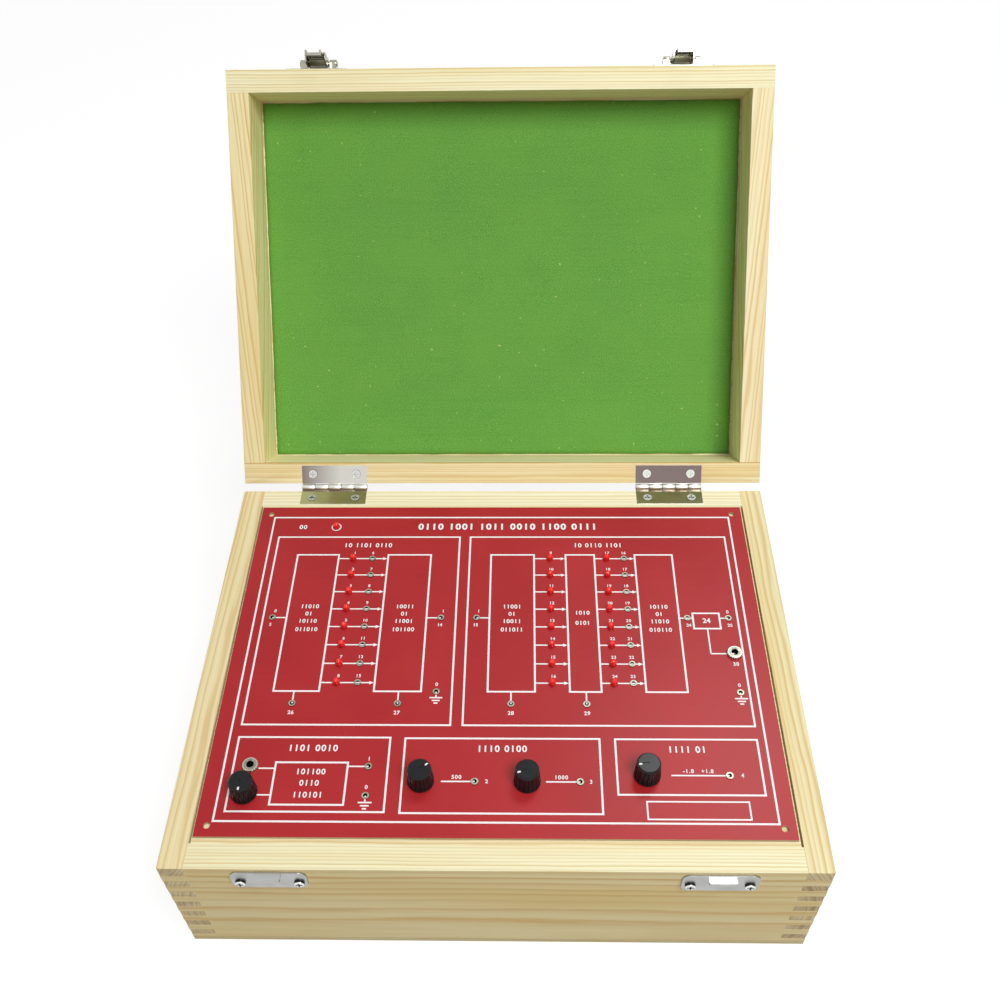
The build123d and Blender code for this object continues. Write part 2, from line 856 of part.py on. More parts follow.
def latch_plate(x):
    """A base plate with a screw wing each side and two thick ears for the pivot."""
    low = lid_rim + latch_plate_lift
    plate = block(
        -latch_plate_width / 2,
        latch_plate_width / 2,
        front_face - latch_plate_thickness,
        front_face,
        low,
        low + latch_plate_height,
    )
    plate = fillet(plate.edges().filter_by(Axis.Y), latch_corner_radius)
    for side in (-1, 1):
        x0, x1 = sorted((side * latch_ear_inside, side * ear_outside))
        ear = Pos((x0 + x1) / 2, pivot_y, pivot_z) * cross_bar(
            latch_wall_radius, latch_ear_width / 2
        )
        foot = block(
            x0, x1, pivot_y, front_face, pivot_z - latch_wall_radius, pivot_z + latch_wall_radius
        )
        plate += ear + foot
    bore_radius = latch_pivot_radius + shaft_clearance
    plate -= Pos(0, pivot_y, pivot_z) * cross_bar(bore_radius, latch_plate_width)
    for end in (-1, 1):
        place = Pos(end * latch_screw_spacing / 2, front_face - latch_plate_thickness, latch_screw_z)
        plate -= place * Rot(90, 0, 0) * pan_pocket(screw_shank_length)
    return Pos(x, 0, 0) * plate


def latch_flap():
    """A channel that opens towards the lid, rounded about both of its pivots."""
    inner = flap_outer_half_width - flap_thickness
    foot_z = lid_rim + flap_foot_lift
    lower_y = flap_outer_y + flap_wall_depth
    walls = []
    for side in (-1, 1):
        x0, x1 = sorted((side * inner, side * flap_outer_half_width))
        middle = (x0 + x1) / 2
        half = (x1 - x0) / 2
        wall = Pos(middle, 0, 0) * side_profile(
            [
                (flap_outer_y, foot_z),
                (lower_y, foot_z),
                (lower_y, pivot_z - latch_wall_radius),
                (pivot_y + latch_wall_radius, pivot_z),
                (link_y, link_z + link_barrel_radius),
                (flap_outer_y, pivot_z + flap_top_rise),
            ],
            half,
        )
        wall += Pos(middle, link_y, link_z) * cross_bar(link_barrel_radius, half)
        walls.append(wall)
    web = block(-inner, inner, flap_outer_y, flap_inner_y, foot_z, pivot_z + flap_top_rise)
    channel = web.fuse(*walls)
    edges = channel.edges().filter_by(Axis.Z).group_by(Axis.Y)[0].sort_by(Axis.X)
    channel = fillet([edges[0], edges[-1]], flap_thickness / 2)
    reach = flap_outer_half_width + cut_past
    channel -= Pos(0, pivot_y, pivot_z) * cross_bar(latch_pivot_radius, reach)
    channel -= Pos(0, link_y, link_z) * cross_bar(link_pivot_radius, reach)
    return channel


def latch_pins():
    """The pivot through the ears, with shoulders beside the flap, and the link's pin."""
    pivot = cross_bar(latch_pivot_radius, ear_outside + latch_rivet_height)
    for side in (-1, 1):
        shoulder_length = latch_ear_inside - flap_outer_half_width - 2 * shaft_clearance
        middle = side * (latch_ear_inside + flap_outer_half_width) / 2
        pivot += Pos(middle, 0, 0) * cross_bar(latch_shoulder_radius, shoulder_length / 2)
        rivet_middle = side * (ear_outside + shaft_clearance + latch_rivet_height / 2)
        pivot += Pos(rivet_middle, 0, 0) * cross_bar(latch_rivet_radius, latch_rivet_height / 2)
    pin = cross_bar(link_pivot_radius, flap_outer_half_width)
    return [Pos(0, pivot_y, pivot_z) * pivot, Pos(0, link_y, link_z) * pin]


def latch_link():
    """The link that hangs from the flap: a sheet with two arms whose bar hooks under the strike's tab."""
    tab_under = base_height - strike_drop - strike_thickness
    hook_top = tab_under - link_hook_gap
    hook_under = hook_top - link_thickness
    outer_run = front_face - strike_tab_reach - link_tab_gap
    outer_face = outer_run - link_thickness
    back_run = pivot_y + latch_pivot_radius + link_pin_gap
    inner_face = back_run + link_thickness
    hook_tip = front_face - link_hook_inner_reach
    jog_high = pivot_z - link_jog_drop
    jog_low = jog_high - (back_run - outer_face)
    plate = side_profile(
        [
            (inner_face, link_z),
            (back_run, link_z),
            (back_run, jog_high + link_bend),
            (outer_face, jog_low + link_bend),
            (outer_face, hook_under),
            (hook_tip, hook_under),
            (hook_tip, hook_top),
            (outer_run, hook_top),
            (outer_run, jog_low - link_bend),
            (inner_face, jog_high - link_bend),
        ],
        link_half_width,
    )
    plate -= block(
        -link_half_width + link_arm_width,
        link_half_width - link_arm_width,
        outer_face - cut_past,
        hook_tip - link_bar_depth,
        hook_under - cut_past,
        jog_low - link_window_gap,
    )
    plate += Pos(0, link_y, link_z) * cross_bar(link_barrel_radius, link_half_width)
    bore = link_pivot_radius + shaft_clearance
    return plate - Pos(0, link_y, link_z) * cross_bar(bore, link_half_width + cut_past)


# Power entry: an appliance inlet and a rocker switch low on the back board
def entry_cutout(x, width, height):
    gap = entry_clearance
    return block(
        x - width / 2 - gap,
        x + width / 2 + gap,
        inner_depth / 2 - cut_past,
        back_face + cut_past,
        entry_height - height / 2 - gap,
        entry_height + height / 2 + gap,
    )


inlet_x = inlet_from_centre
switch_x = switch_from_centre
inlet_screw_places = [
    Pos(inlet_x + end * inlet_screw_spacing / 2, back_face + inlet_flange_thickness, entry_height)
    * Rot(-90, 0, 0)
    for end in (-1, 1)
]
base_back -= entry_cutout(inlet_x, inlet_body_width, inlet_body_height)
base_back -= entry_cutout(switch_x, switch_body_width, switch_body_height)
for place in inlet_screw_places:
    base_back -= place * pan_pocket(screw_shank_length)


def power_inlet():
    """The inlet's flange and its cup, open to the back."""
    half_w = inlet_flange_width / 2
    half_h = inlet_flange_height / 2
    flange = block(-half_w, half_w, 0, inlet_flange_thickness, -half_h, half_h)
    flange = fillet(flange.edges().filter_by(Axis.Y), inlet_corner_radius)
    cup = block(
        -inlet_body_width / 2,
        inlet_body_width / 2,
        -inlet_body_depth,
        0,
        -inlet_body_height / 2,
        inlet_body_height / 2,
    )
    cavity_floor = inlet_flange_thickness - inlet_cavity_depth
    cavity = block(
        -inlet_cavity_width / 2,
        inlet_cavity_width / 2,
        cavity_floor,
        inlet_flange_thickness,
        -inlet_cavity_height / 2,
        inlet_cavity_height / 2,
    )
    keyed = cavity.edges().filter_by(Axis.Y).group_by(Axis.Z)[-1]
    cavity = chamfer(keyed, inlet_cavity_key)
    body = Pos(inlet_x, back_face, entry_height) * (flange + cup - cavity)
    for place in inlet_screw_places:
        body -= place * pan_pocket(screw_shank_length)
    for pin in inlet_pin_blocks():
        body -= pin
    return body


def inlet_pin_blocks():
    """Three flat pins through the cup's floor, each ending in a solder tab inside the case."""
    start = -inlet_body_depth - inlet_tab_length
    floor_y = inlet_flange_thickness - inlet_cavity_depth
    pins = []
    for x, lift in ((-inlet_pin_spacing, 0), (0, inlet_earth_lift), (inlet_pin_spacing, 0)):
        pin = block(
            x - inlet_pin_width / 2,
            x + inlet_pin_width / 2,
            start,
            floor_y + inlet_pin_reach,
            lift - inlet_pin_height / 2,
            lift + inlet_pin_height / 2,
        )
        pins.append(Pos(inlet_x, back_face, entry_height) * pin)
    return pins


rocker_y = back_face + switch_bezel_thickness - rocker_pivot_depth


def switch_housing():
    """The switch's bezel and box, open to the back, with a pivot hole each side."""
    half_w = switch_bezel_width / 2
    half_h = switch_bezel_height / 2
    bezel = block(-half_w, half_w, 0, switch_bezel_thickness, -half_h, half_h)
    box = block(
        -switch_body_width / 2,
        switch_body_width / 2,
        -switch_body_depth,
        0,
        -switch_body_height / 2,
        switch_body_height / 2,
    )
    room = block(
        -switch_body_width / 2 + switch_wall,
        switch_body_width / 2 - switch_wall,
        switch_bezel_thickness - switch_room_depth,
        switch_bezel_thickness,
        -switch_body_height / 2 + switch_wall,
        switch_body_height / 2 - switch_wall,
    )
    body = Pos(switch_x, back_face, entry_height) * (bezel + box - room)
    hole = Cylinder(rocker_pivot_radius + shaft_clearance, switch_body_height - switch_wall)
    return body - Pos(switch_x, rocker_y, entry_height) * hole


def switch_rocker():
    """A rocker on an upright pivot, tilted to its off side."""
    half_w = switch_body_width / 2 - switch_wall - rocker_clearance
    half_h = switch_body_height / 2 - switch_wall - rocker_clearance
    ridge = rocker_pivot_depth + rocker_reach
    drop = half_w * sin(radians(rocker_tilt))
    outline = Polyline(
        (-half_w + drop, -rocker_pivot_depth + drop),
        (-half_w, ridge),
        (0, ridge - 2 * drop),
        (half_w, ridge),
        (half_w - drop, -rocker_pivot_depth + drop),
        close=True,
    )
    body = extrude(make_face(outline), amount=half_h, both=True)
    pivot_length = switch_body_height - switch_wall - 2 * rocker_end_play
    body += Cylinder(rocker_pivot_radius, pivot_length)
    return Pos(switch_x, rocker_y, entry_height) * Rot(0, 0, rocker_tilt) * body


# Power supply on the bottom panel
strap_screw_x = core_width / 2 + strap_clearance + strap_thickness + strap_ear / 2
strap_screw_offsets = [Pos(-strap_screw_x, 0, 0), Pos(strap_screw_x, 0, 0)]
transformer_place = Pos(transformer_centre_x, transformer_centre_y, ply)


def transformer_core():
    """A stack of laminations with two windows, on edge."""
    half_w = core_width / 2
    half_d = core_depth / 2
    core = block(-half_w, half_w, -half_d, half_d, 0, core_height)
    window_w = (core_width - 4 * core_limb) / 2
    for side in (-1, 1):
        x0, x1 = sorted((side * core_limb, side * (core_limb + window_w)))
        core -= block(
            x0, x1, -half_d - cut_past, half_d + cut_past, core_limb, core_height - core_limb
        )
    return core


def transformer_coil():
    """The winding on the centre limb, bulging out front and back."""
    gap = coil_clearance
    half_w = core_limb + (core_width - 4 * core_limb) / 2 - gap
    half_d = coil_depth / 2
    coil = block(-half_w, half_w, -half_d, half_d, core_limb + gap, core_height - core_limb - gap)
    coil = fillet(coil.edges().filter_by(Axis.Z), coil_corner_radius)
    limb = block(
        -core_limb, core_limb, -core_depth / 2, core_depth / 2, core_limb, core_height - core_limb
    )
    return coil - limb


def transformer_strap():
    """A sheet strap over the core, with a screwed ear each side."""
    half_w = core_width / 2 + strap_clearance
    outer = half_w + strap_thickness
    under = core_height + strap_clearance
    top = under + strap_thickness
    points = [
        (-outer - strap_ear, 0),
        (-outer - strap_ear, strap_thickness),
        (-outer, strap_thickness),
        (-outer, top),
        (outer, top),
        (outer, strap_thickness),
        (outer + strap_ear, strap_thickness),
        (outer + strap_ear, 0),
        (half_w, 0),
        (half_w, under),
        (-half_w, under),
        (-half_w, 0),
    ]
    outline = make_face(Polyline(*[(x, 0, z) for x, z in points], close=True))
    strap = extrude(outline, amount=strap_width / 2, dir=(0, 1, 0), both=True)
    for place in strap_screw_offsets:
        strap -= place * Pos(0, 0, strap_thickness) * pan_pocket(short_screw_length)
    return strap


for place in strap_screw_offsets:
    base_bottom -= transformer_place * place * Pos(0, 0, strap_thickness) * pan_pocket(
        short_screw_length
    )
supply_corner_places = [
    Pos(
        supply_centre_x + side * (supply_width / 2 - standoff_inset),
        supply_centre_y + end * (supply_depth / 2 - standoff_inset),
        ply,
    )
    for side in (-1, 1)
    for end in (-1, 1)
]
supply_top = ply + standoff_height + supply_thickness
supply_place = Pos(supply_centre_x, supply_centre_y, supply_top)


def supply_board():
    board_sheet = block(
        -supply_width / 2,
        supply_width / 2,
        -supply_depth / 2,
        supply_depth / 2,
        -supply_thickness,
        0,
    )
    sheet = supply_place * board_sheet
    for place in supply_corner_places:
        sheet -= place * Pos(0, 0, standoff_height + supply_thickness) * pan_pocket(short_screw_length)
    return sheet


def standoff():
    body = rod(standoff_radius, standoff_height)
    return body - Pos(0, 0, standoff_height) * pan_pocket(short_screw_length)


def regulator():
    """A three-legged regulator standing on the board, its tab against the heatsink behind it."""
    body = block(
        -regulator_width / 2,
        regulator_width / 2,
        -regulator_thickness,
        0,
        regulator_leg_length,
        regulator_leg_length + regulator_height,
    )
    for x in (-lead_spacing, 0, lead_spacing):
        leg = block(
            x - chip_lead_width / 2,
            x + chip_lead_width / 2,
            -regulator_thickness / 2 - chip_lead_width / 2,
            -regulator_thickness / 2 + chip_lead_width / 2,
            0,
            regulator_leg_length,
        )
        body += leg
    return body


def heatsink():
    """An extruded heatsink with upright fins behind its back plate."""
    body = block(-heatsink_width / 2, heatsink_width / 2, 0, heatsink_back, 0, heatsink_height)
    pitch = (heatsink_width - heatsink_back) / (heatsink_fins - 1)
    for n in range(heatsink_fins):
        x = -heatsink_width / 2 + n * pitch
        body += block(x, x + heatsink_back, 0, heatsink_back + heatsink_fin, 0, heatsink_height)
    return body


regulator_y = supply_depth / 2 - heatsink_board_inset - heatsink_fin - heatsink_back
regulator_places = [
    supply_place * Pos((n - (regulators - 1) / 2) * regulator_pitch, regulator_y, 0)
    for n in range(regulators)
]
filter_y = -supply_depth / 2 + filter_can_board_inset + filter_can_radius
filter_places = [
    supply_place * Pos((n - (filter_cans - 1) / 2) * filter_can_pitch, filter_y, 0)
    for n in range(filter_cans)
]


def filter_can():
    body = rod(filter_can_radius, filter_can_height)
    return fillet(body.edges(), filter_can_edge_radius)


def bridge():
    """A flat bridge rectifier on edge, on four legs in a row."""
    half = bridge_side / 2
    low = bridge_leg_length
    body = block(-bridge_thickness / 2, bridge_thickness / 2, -half, half, low, low + bridge_side)
    row = half - bridge_leg_inset
    for y in (-row, -row / 3, row / 3, row):
        body += Pos(0, y, 0) * rod(bridge_leg_radius, bridge_leg_length)
    return supply_place * Pos(-supply_width / 2 + bridge_board_inset, bridge_shift, 0) * body


# Chips, cans and resistors soldered under the panel, hanging down
def chip(pins, body_width, row_spacing):
    """A dual in-line chip along Y, its leads up against the board."""
    per_side = pins // 2
    length = per_side * chip_lead_pitch
    low = -chip_standoff - chip_body_height
    waist = low + chip_body_height / 2
    body = block(-body_width / 2, body_width / 2, -length / 2, length / 2, low, -chip_standoff)
    for side in (-1, 1):
        x0, x1 = sorted((side * body_width / 2, side * row_spacing / 2))
        for n in range(per_side):
            y = (n - (per_side - 1) / 2) * chip_lead_pitch
            half = chip_lead_width / 2
            shelf = block(x0, x1, y - half, y + half, waist, waist + chip_lead_thickness)
            leg_x0, leg_x1 = sorted(
                (side * row_spacing / 2, side * (row_spacing / 2 - chip_lead_thickness))
            )
            leg = block(leg_x0, leg_x1, y - half, y + half, waist, 0)
            body += shelf + leg
    return Pos(0, 0, panel_under) * body


chip_places = [
    ((input_x + encoder_lamps_x) / 2, signal_y, 28, True),
    ((encoder_probe_x + code_output_x) / 2, signal_y, 16, False),
    ((code_input_x + latch_lamps_x) / 2, signal_y, 14, False),
    ((latch_lamps_x + output_lamps_x) / 2, signal_y, 20, False),
    ((output_probe_x + converter_output_x) / 2, signal_y, 16, False),
    ((converter_output_x + filter_output_x) / 2, signal_y, 8, False),
    ((mic_output_x + input_x) / 2, mic_y, 8, False),
    ((low_tone_knob_x + low_tone_socket_x) / 2, tone_y, 8, False),
    ((high_tone_knob_x + high_tone_socket_x) / 2, tone_y, 8, False),
]


def chips():
    made = {}
    for x, y, pins, wide in chip_places:
        if (pins, wide) not in made:
            body_width = wide_chip_body_width if wide else chip_body_width
            row_spacing = wide_chip_row_spacing if wide else chip_row_spacing
            made[pins, wide] = chip(pins, body_width, row_spacing)
        yield Pos(x, y, 0) * made[pins, wide]


def small_cans():
    """One can in front of each chip."""
    can = rod(small_can_radius, small_can_height)
    can = fillet(can.edges().group_by(Axis.Z)[0], small_can_edge_radius)
    for x, y, pins, _ in chip_places:
        reach = pins // 2 * chip_lead_pitch / 2 + small_can_gap + small_can_radius
        yield Pos(x, y - reach, panel_under - small_can_height) * can


def resistor():
    """An axial resistor along X, held off the panel by its two leads."""
    reach = resistor_length / 2 + resistor_lead_reach
    body = cross_bar(resistor_radius, resistor_length / 2)
    body += cross_bar(resistor_lead_radius, reach)
    for side in (-1, 1):
        body += Pos(side * reach, 0, 0) * rod(resistor_lead_radius, resistor_lead_drop)
    return Pos(0, 0, panel_under - resistor_lead_drop) * body


# The ribbon that feeds the panel, between a header under the panel and one on the supply board
header_x = supply_centre_x + supply_width / 2 - header_board_inset
header_y = supply_centre_y


def headers():
    half_w = header_depth / 2
    half_d = header_width / 2
    lower = block(-half_w, half_w, -half_d, half_d, 0, header_height)
    upper = block(-half_w, half_w, -half_d, half_d, -header_height, 0)
    return [
        Pos(header_x, header_y, supply_top) * lower,
        Pos(header_x, header_y, panel_under) * upper,
    ]


def ribbon():
    low = supply_top + header_height
    high = panel_under - header_height
    path = FilletPolyline(
        (header_x, header_y, low),
        (header_x, header_y, low + ribbon_bow),
        (header_x + ribbon_bow, header_y, low + 2 * ribbon_bow),
        (header_x + ribbon_bow, header_y, high - 2 * ribbon_bow),
        (header_x, header_y, high - ribbon_bow),
        (header_x, header_y, high),
        radius=ribbon_bow / 2,
    )
    start = Plane(origin=path @ 0, x_dir=(0, 1, 0), z_dir=path % 0)
    return sweep(start * Rectangle(ribbon_width, ribbon_thickness), path=path)


def wire(points):
    path = FilletPolyline(*points, radius=wire_bend)
    start = Plane(origin=path @ 0, z_dir=path % 0)
    return sweep(start * Circle(wire_radius), path=path)


def power_wires():
    """Live and neutral from the inlet, one through the switch, and the winding's two low-voltage ends."""
    tab_y = back_face - inlet_body_depth - inlet_tab_length
    switch_back = back_face - switch_body_depth
    coil_x = transformer_centre_x
    coil_back = transformer_centre_y + coil_depth / 2
    coil_front = transformer_centre_y - coil_depth / 2
    coil_z = ply + core_height / 2
    board_x = supply_centre_x - supply_width / 2 + wire_board_inset
    far_x = inlet_x - inlet_pin_spacing
    near_x = inlet_x + inlet_pin_spacing
    routes = [
        [
            (far_x, tab_y, entry_height),
            (far_x, tab_y - wire_run, entry_height),
            (switch_x + wire_spread, switch_back - wire_run, entry_height),
            (switch_x + wire_spread, switch_back, entry_height),
        ],
        [
            (switch_x - wire_spread, switch_back, entry_height),
            (switch_x - wire_spread, switch_back - wire_run, entry_height),
            (coil_x - wire_spread, coil_back + wire_run, coil_z - wire_lift),
            (coil_x - wire_spread, coil_back, coil_z - wire_lift),
        ],
        [
            (near_x, tab_y, entry_height),
            (near_x, tab_y - wire_run, entry_height),
            (near_x, tab_y - wire_run, coil_z + wire_lift),
            (coil_x + wire_spread, coil_back + wire_run, coil_z + wire_lift),
            (coil_x + wire_spread, coil_back, coil_z + wire_lift),
        ],
    ]
    for side in (-1, 1):
        y = supply_centre_y + side * wire_spread
        routes.append(
            [
                (coil_x + side * wire_spread, coil_front, coil_z),
                (coil_x + side * wire_spread, coil_front - wire_run, coil_z),
                (board_x, y, coil_z),
                (board_x, y, supply_top),
            ]
        )
    return [wire(route) for route in routes]


# Turning the lid and its latches from closed to rest
lid_axis = Axis((0, hinge_pin_y, hinge_pin_z), (1, 0, 0))
flap_axis = Axis((0, pivot_y, pivot_z), (1, 0, 0))


def opened(shape):
    return shape.rotate(lid_axis, -lid_open_angle)


def lifted(shape, x):
    return opened(Pos(x, 0, 0) * shape.rotate(flap_axis, -latch_rest_angle))


nodes = {
    "base_front_board": base_front,
    "base_back_board": base_back,
    "base_side_boards": group(base_sides),
    "base_bottom_panel": base_bottom,
    "panel_battens": group(battens()),
    "control_panel": panel(),
    "signal_lamps": group(Pos(x, y, 0) * lamp() for x, y in lamp_places),
    "power_lamp": Pos(*power_lamp_place, 0) * lamp(),
    "test_sockets": group(Pos(x, y, 0) * test_socket() for x, y in socket_places),
    "audio_jacks": group(Pos(x, y, 0) * jack() for x, y in jack_places),
    "audio_jack_nuts": group(Pos(x, y, 0) * jack_nut() for x, y in jack_places),
    "potentiometers": group(Pos(x, y, 0) * potentiometer() for x, y, _ in knob_places.values()),
    "logic_chips": group(chips()),
    "panel_capacitors": group(small_cans()),
    "lamp_resistors": group(
        Pos(x, y - resistor_offset, 0) * resistor() for x, y in lamp_places
    ),
    "panel_headers": group(headers()),
    "supply_ribbon": ribbon(),
    "supply_board": supply_board(),
    "supply_standoffs": group(place * standoff() for place in supply_corner_places),
    "supply_regulators": group(place * regulator() for place in regulator_places),
    "regulator_heatsinks": group(place * heatsink() for place in regulator_places),
    "supply_capacitors": group(place * filter_can() for place in filter_places),
    "bridge_rectifier": bridge(),
    "transformer_core": transformer_place * transformer_core(),
    "transformer_coil": transformer_place * transformer_coil(),
    "transformer_strap": transformer_place * transformer_strap(),
    "power_inlet": power_inlet(),
    "inlet_pins": group(inlet_pin_blocks()),
    "inlet_screws": group(place * pan_screw(screw_shank_length) for place in inlet_screw_places),
    "switch_housing": switch_housing(),
    "switch_rocker": switch_rocker(),
    "power_wires": group(power_wires()),
    "strikes": group(strike(side * latch_centre) for side in (-1, 1)),
    "base_hinge_leaves": group(base_leaves),
    "hinge_pins": group(hinge_pin(side * hinge_centre) for side in (-1, 1)),
    "base_screws": group(
        [place * screw(screw_shank_length, hinge_screw_dome) for place in base_hinge_screw_places]
        + [place * pan_screw(screw_shank_length) for place in strike_screw_places]
    ),
    "supply_screws": group(
        [
            place * Pos(0, 0, standoff_height + supply_thickness) * pan_screw(short_screw_length)
            for place in supply_corner_places
        ]
        + [
            transformer_place * place * Pos(0, 0, strap_thickness) * pan_screw(short_screw_length)
            for place in strap_screw_offsets
        ]
    ),
    "lid_front_board": opened(lid_front),
    "lid_back_board": opened(lid_back),
    "lid_side_boards": opened(group(lid_sides)),
    "lid_top_panel": opened(lid_panel),
    "felt_lining": opened(felt),
    "lid_hinge_leaves": opened(group(lid_leaves)),
    "latch_plates": opened(group(latch_plate(side * latch_centre) for side in (-1, 1))),
    "lid_screws": opened(
        group(
            [place * screw(screw_shank_length, hinge_screw_dome) for place in lid_hinge_screw_places]
            + [place * pan_screw(screw_shank_length) for place in latch_screw_places]
        )
    ),
}
for side, word in ((-1, "left"), (1, "right")):
    x = side * latch_centre
    nodes[f"{word}_latch_flap"] = lifted(latch_flap(), x)
    nodes[f"{word}_latch_pins"] = lifted(group(latch_pins()), x)
    nodes[f"{word}_latch_link"] = lifted(latch_link(), x)
for word, (x, y, angle) in knob_places.items():
    nodes[f"{word}_knob"] = Pos(x, y, 0) * Rot(0, 0, angle) * knob()
    nodes[f"{word}_shaft"] = Pos(x, y, 0) * knob_shaft()

os.makedirs("parts", exist_ok=True)
for name, shape in nodes.items():
    export_step(shape, f"parts/{name}.step")
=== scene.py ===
import json
from math import cos, radians, sin

import bmesh
import bpy
from mathutils import Matrix, Vector, noise

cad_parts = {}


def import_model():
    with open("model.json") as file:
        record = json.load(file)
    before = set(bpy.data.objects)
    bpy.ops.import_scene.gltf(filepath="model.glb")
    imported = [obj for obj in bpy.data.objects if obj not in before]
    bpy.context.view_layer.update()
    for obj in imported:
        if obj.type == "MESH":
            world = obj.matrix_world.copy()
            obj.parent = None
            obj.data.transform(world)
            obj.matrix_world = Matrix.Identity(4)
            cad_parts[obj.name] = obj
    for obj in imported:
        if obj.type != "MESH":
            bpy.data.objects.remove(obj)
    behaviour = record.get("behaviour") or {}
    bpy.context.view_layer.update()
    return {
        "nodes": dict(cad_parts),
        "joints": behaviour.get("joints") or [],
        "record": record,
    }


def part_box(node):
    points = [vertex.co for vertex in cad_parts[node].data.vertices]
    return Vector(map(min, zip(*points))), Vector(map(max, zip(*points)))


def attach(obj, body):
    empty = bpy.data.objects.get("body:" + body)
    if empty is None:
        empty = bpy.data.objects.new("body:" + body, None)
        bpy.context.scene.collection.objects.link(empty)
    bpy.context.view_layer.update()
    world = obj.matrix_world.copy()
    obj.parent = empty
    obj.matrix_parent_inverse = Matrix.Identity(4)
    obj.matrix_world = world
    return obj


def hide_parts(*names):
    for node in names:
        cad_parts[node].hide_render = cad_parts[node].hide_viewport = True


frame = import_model()
nodes = frame["nodes"]
joints = {joint["name"]: joint for joint in frame["joints"]}
mounts = {mount["name"]: mount for mount in frame["record"]["mounts"]}

# Metres, in the case's own frame: +Z up, the front faces -Y
MM = 0.001

# Camera, fitted to the case's corners in the photograph
CAMERA_PLACE = Vector((0.0141, -0.3258, 0.5478))
CAMERA_LENS = 39.77
CAMERA_PITCH = radians(47.154)
CAMERA_YAW = radians(-1.925)
CAMERA_ROLL = radians(-1.457)

# Light levels
WORLD_FILL = 0.22
KEY_POWER = 19.0
KEY_PLACE = Vector((0.5, -0.66, 1.50))
KEY_SIZE = 0.8
SHEEN_POWER = 4.6
SHEEN_PLACE = Vector((0.42, 0.66, 1.5))
SHEEN_SIZE = 0.5
FRONT_POWER = 3.0
FRONT_PLACE = Vector((0.1, -1.6, 0.35))
FRONT_SIZE = 1.0
FRONT_COLOUR = (1.0, 0.87, 0.64)
LAMP_TARGET = Vector((0, 0.05, 0.08))
FLOOR_GLOW = 0.78
FLOOR_GLOW_LEVEL = 1.12
FLOOR_BOUNCE = 0.26
FLOOR_REACH = 6.0

# How the lid stands open about its hinge pins
LID_ANGLE = radians(joints["lid_hinge"]["range_deg"][0])
HINGE_PIN = Vector(joints["lid_hinge"]["pos_m"])

# Heights of the ink above the panel, and of its layers above each other
INK_LIFT = 0.04 * MM
LAYER_LIFT = 0.012 * MM

# Knob marks
MARK_INNER = 3.2 * MM
MARK_OUTER = 4.75 * MM
MARK_WIDTH = 0.95 * MM
MARK_DEPTH = 0.3 * MM
MARK_ROUNDING = 0.12 * MM
KNOB_ANGLES = {"mic_gain": 270.0, "low_tone": 37.0, "high_tone": 200.0, "dc_level": 189.0}

# Felt: its waves, its rolled edge and how unevenly it is cut
FELT_WAVE = 0.25 * MM
FELT_WAVE_LENGTH = 18 * MM
FELT_ROLL = 0.9 * MM
FELT_ROLL_WIDTH = 2.6 * MM
FELT_CUT = 0.4 * MM
FELT_CUT_LENGTH = 9 * MM
FELT_STEPS = (110, 82)

# Edge rounding of the boards and of the sheet metal
BOARD_ROUNDING = 0.35 * MM
SHEET_ROUNDING = 0.18 * MM
SHARP_ANGLE = radians(40)
WELD_REACH = 0.002 * MM

# Hinges, in millimetres: their length, along which the lid leaves' painted reflection brightens, and
# how far from the pin the knuckles' own colour and painted shade start to fade and have ended
HINGE_LENGTH = 38.0
KNUCKLE_EDGE = (2.05, 2.35)

# The panel's top, and how far below it the jacks' plated bush and above it the lamps' flange and
# crown reach, in millimetres; between flange and crown the lamps' painted shade gives way to a lighter
# red
PANEL_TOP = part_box("control_panel")[1].z / MM
BUSH_DEPTH = 0.5
LAMP_FLANGE = 0.4
LAMP_CROWN = 2.6

# How far apart the two boards of a pair lie in the wood: along it, outwards, and in rings
PAIR_TRAVEL = 700.0
PAIR_RADIUS = 160.0
PAIR_RING = 40.0

# Rows of the captions, in millimetres from the panel's middle
TITLE_ROW = 85.57
UPPER_CAPTION_ROW = 71.86
LOWER_CAPTION_ROW = -55.4
BLOCK_WORD_ROWS = (29.34, 24.57, 19.81, 14.44)
LATCH_WORD_ROWS = (25.37, 18.81)
AMPLIFIER_WORD_ROWS = (-67.91, -73.77, -79.83)
POWER_WORD_PLACE = (-111.17, 85.37)

# Heights of the digits, in millimetres
TITLE_HEIGHT = 4.3
CAPTION_HEIGHT = 2.9
LOWER_CAPTION_HEIGHT = 3.4
BLOCK_WORD_HEIGHT = 2.5
FILTER_WORD_HEIGHT = 3.0
SOCKET_LABEL_HEIGHT = 2.0
SIDE_LABEL_HEIGHT = 1.9
CLOCK_LABEL_HEIGHT = 2.1
COLUMN_LABEL_HEIGHT = 1.8
FONT_PER_HEIGHT = 1.38

# How far the labels stand from the middle of their socket, lamp or jack, in millimetres
LABEL_RISE = 4.0
LEVEL_RISE = 2.2
SIDE_LABEL_RISE = 4.3
SIDE_LABEL_DROP = 4.6
CLOCK_LABEL_DROP = 5.2
JACK_LABEL_DROP = 6.4
LAMP_LABEL_SHIFT = 0.6

# Lines on the panel, in millimetres. Each earth bar is a drop and half a length, and the lines
# from jack and knob are where they start beside the middle and how far they lie below it.
LINE_WIDTH = 0.95
THIN_LINE_WIDTH = 0.75
ARROW_LENGTH = 2.3
ARROW_WIDTH = 2.0
ARROW_GAP = 0.4
EARTH_LEAD = 3.1
EARTH_BARS = ((3.4, 3.2), (5.0, 2.0), (6.5, 1.0))
MIC_LINE = (4.0, 1.2)
GAIN_LINE = (5.0, 1.0)
SOURCE_LINES = (15.7, 16.0, 27.1)
RING_STEPS = 40
POWER_RING = (-92.4, 85.52, 2.2, 2.8)


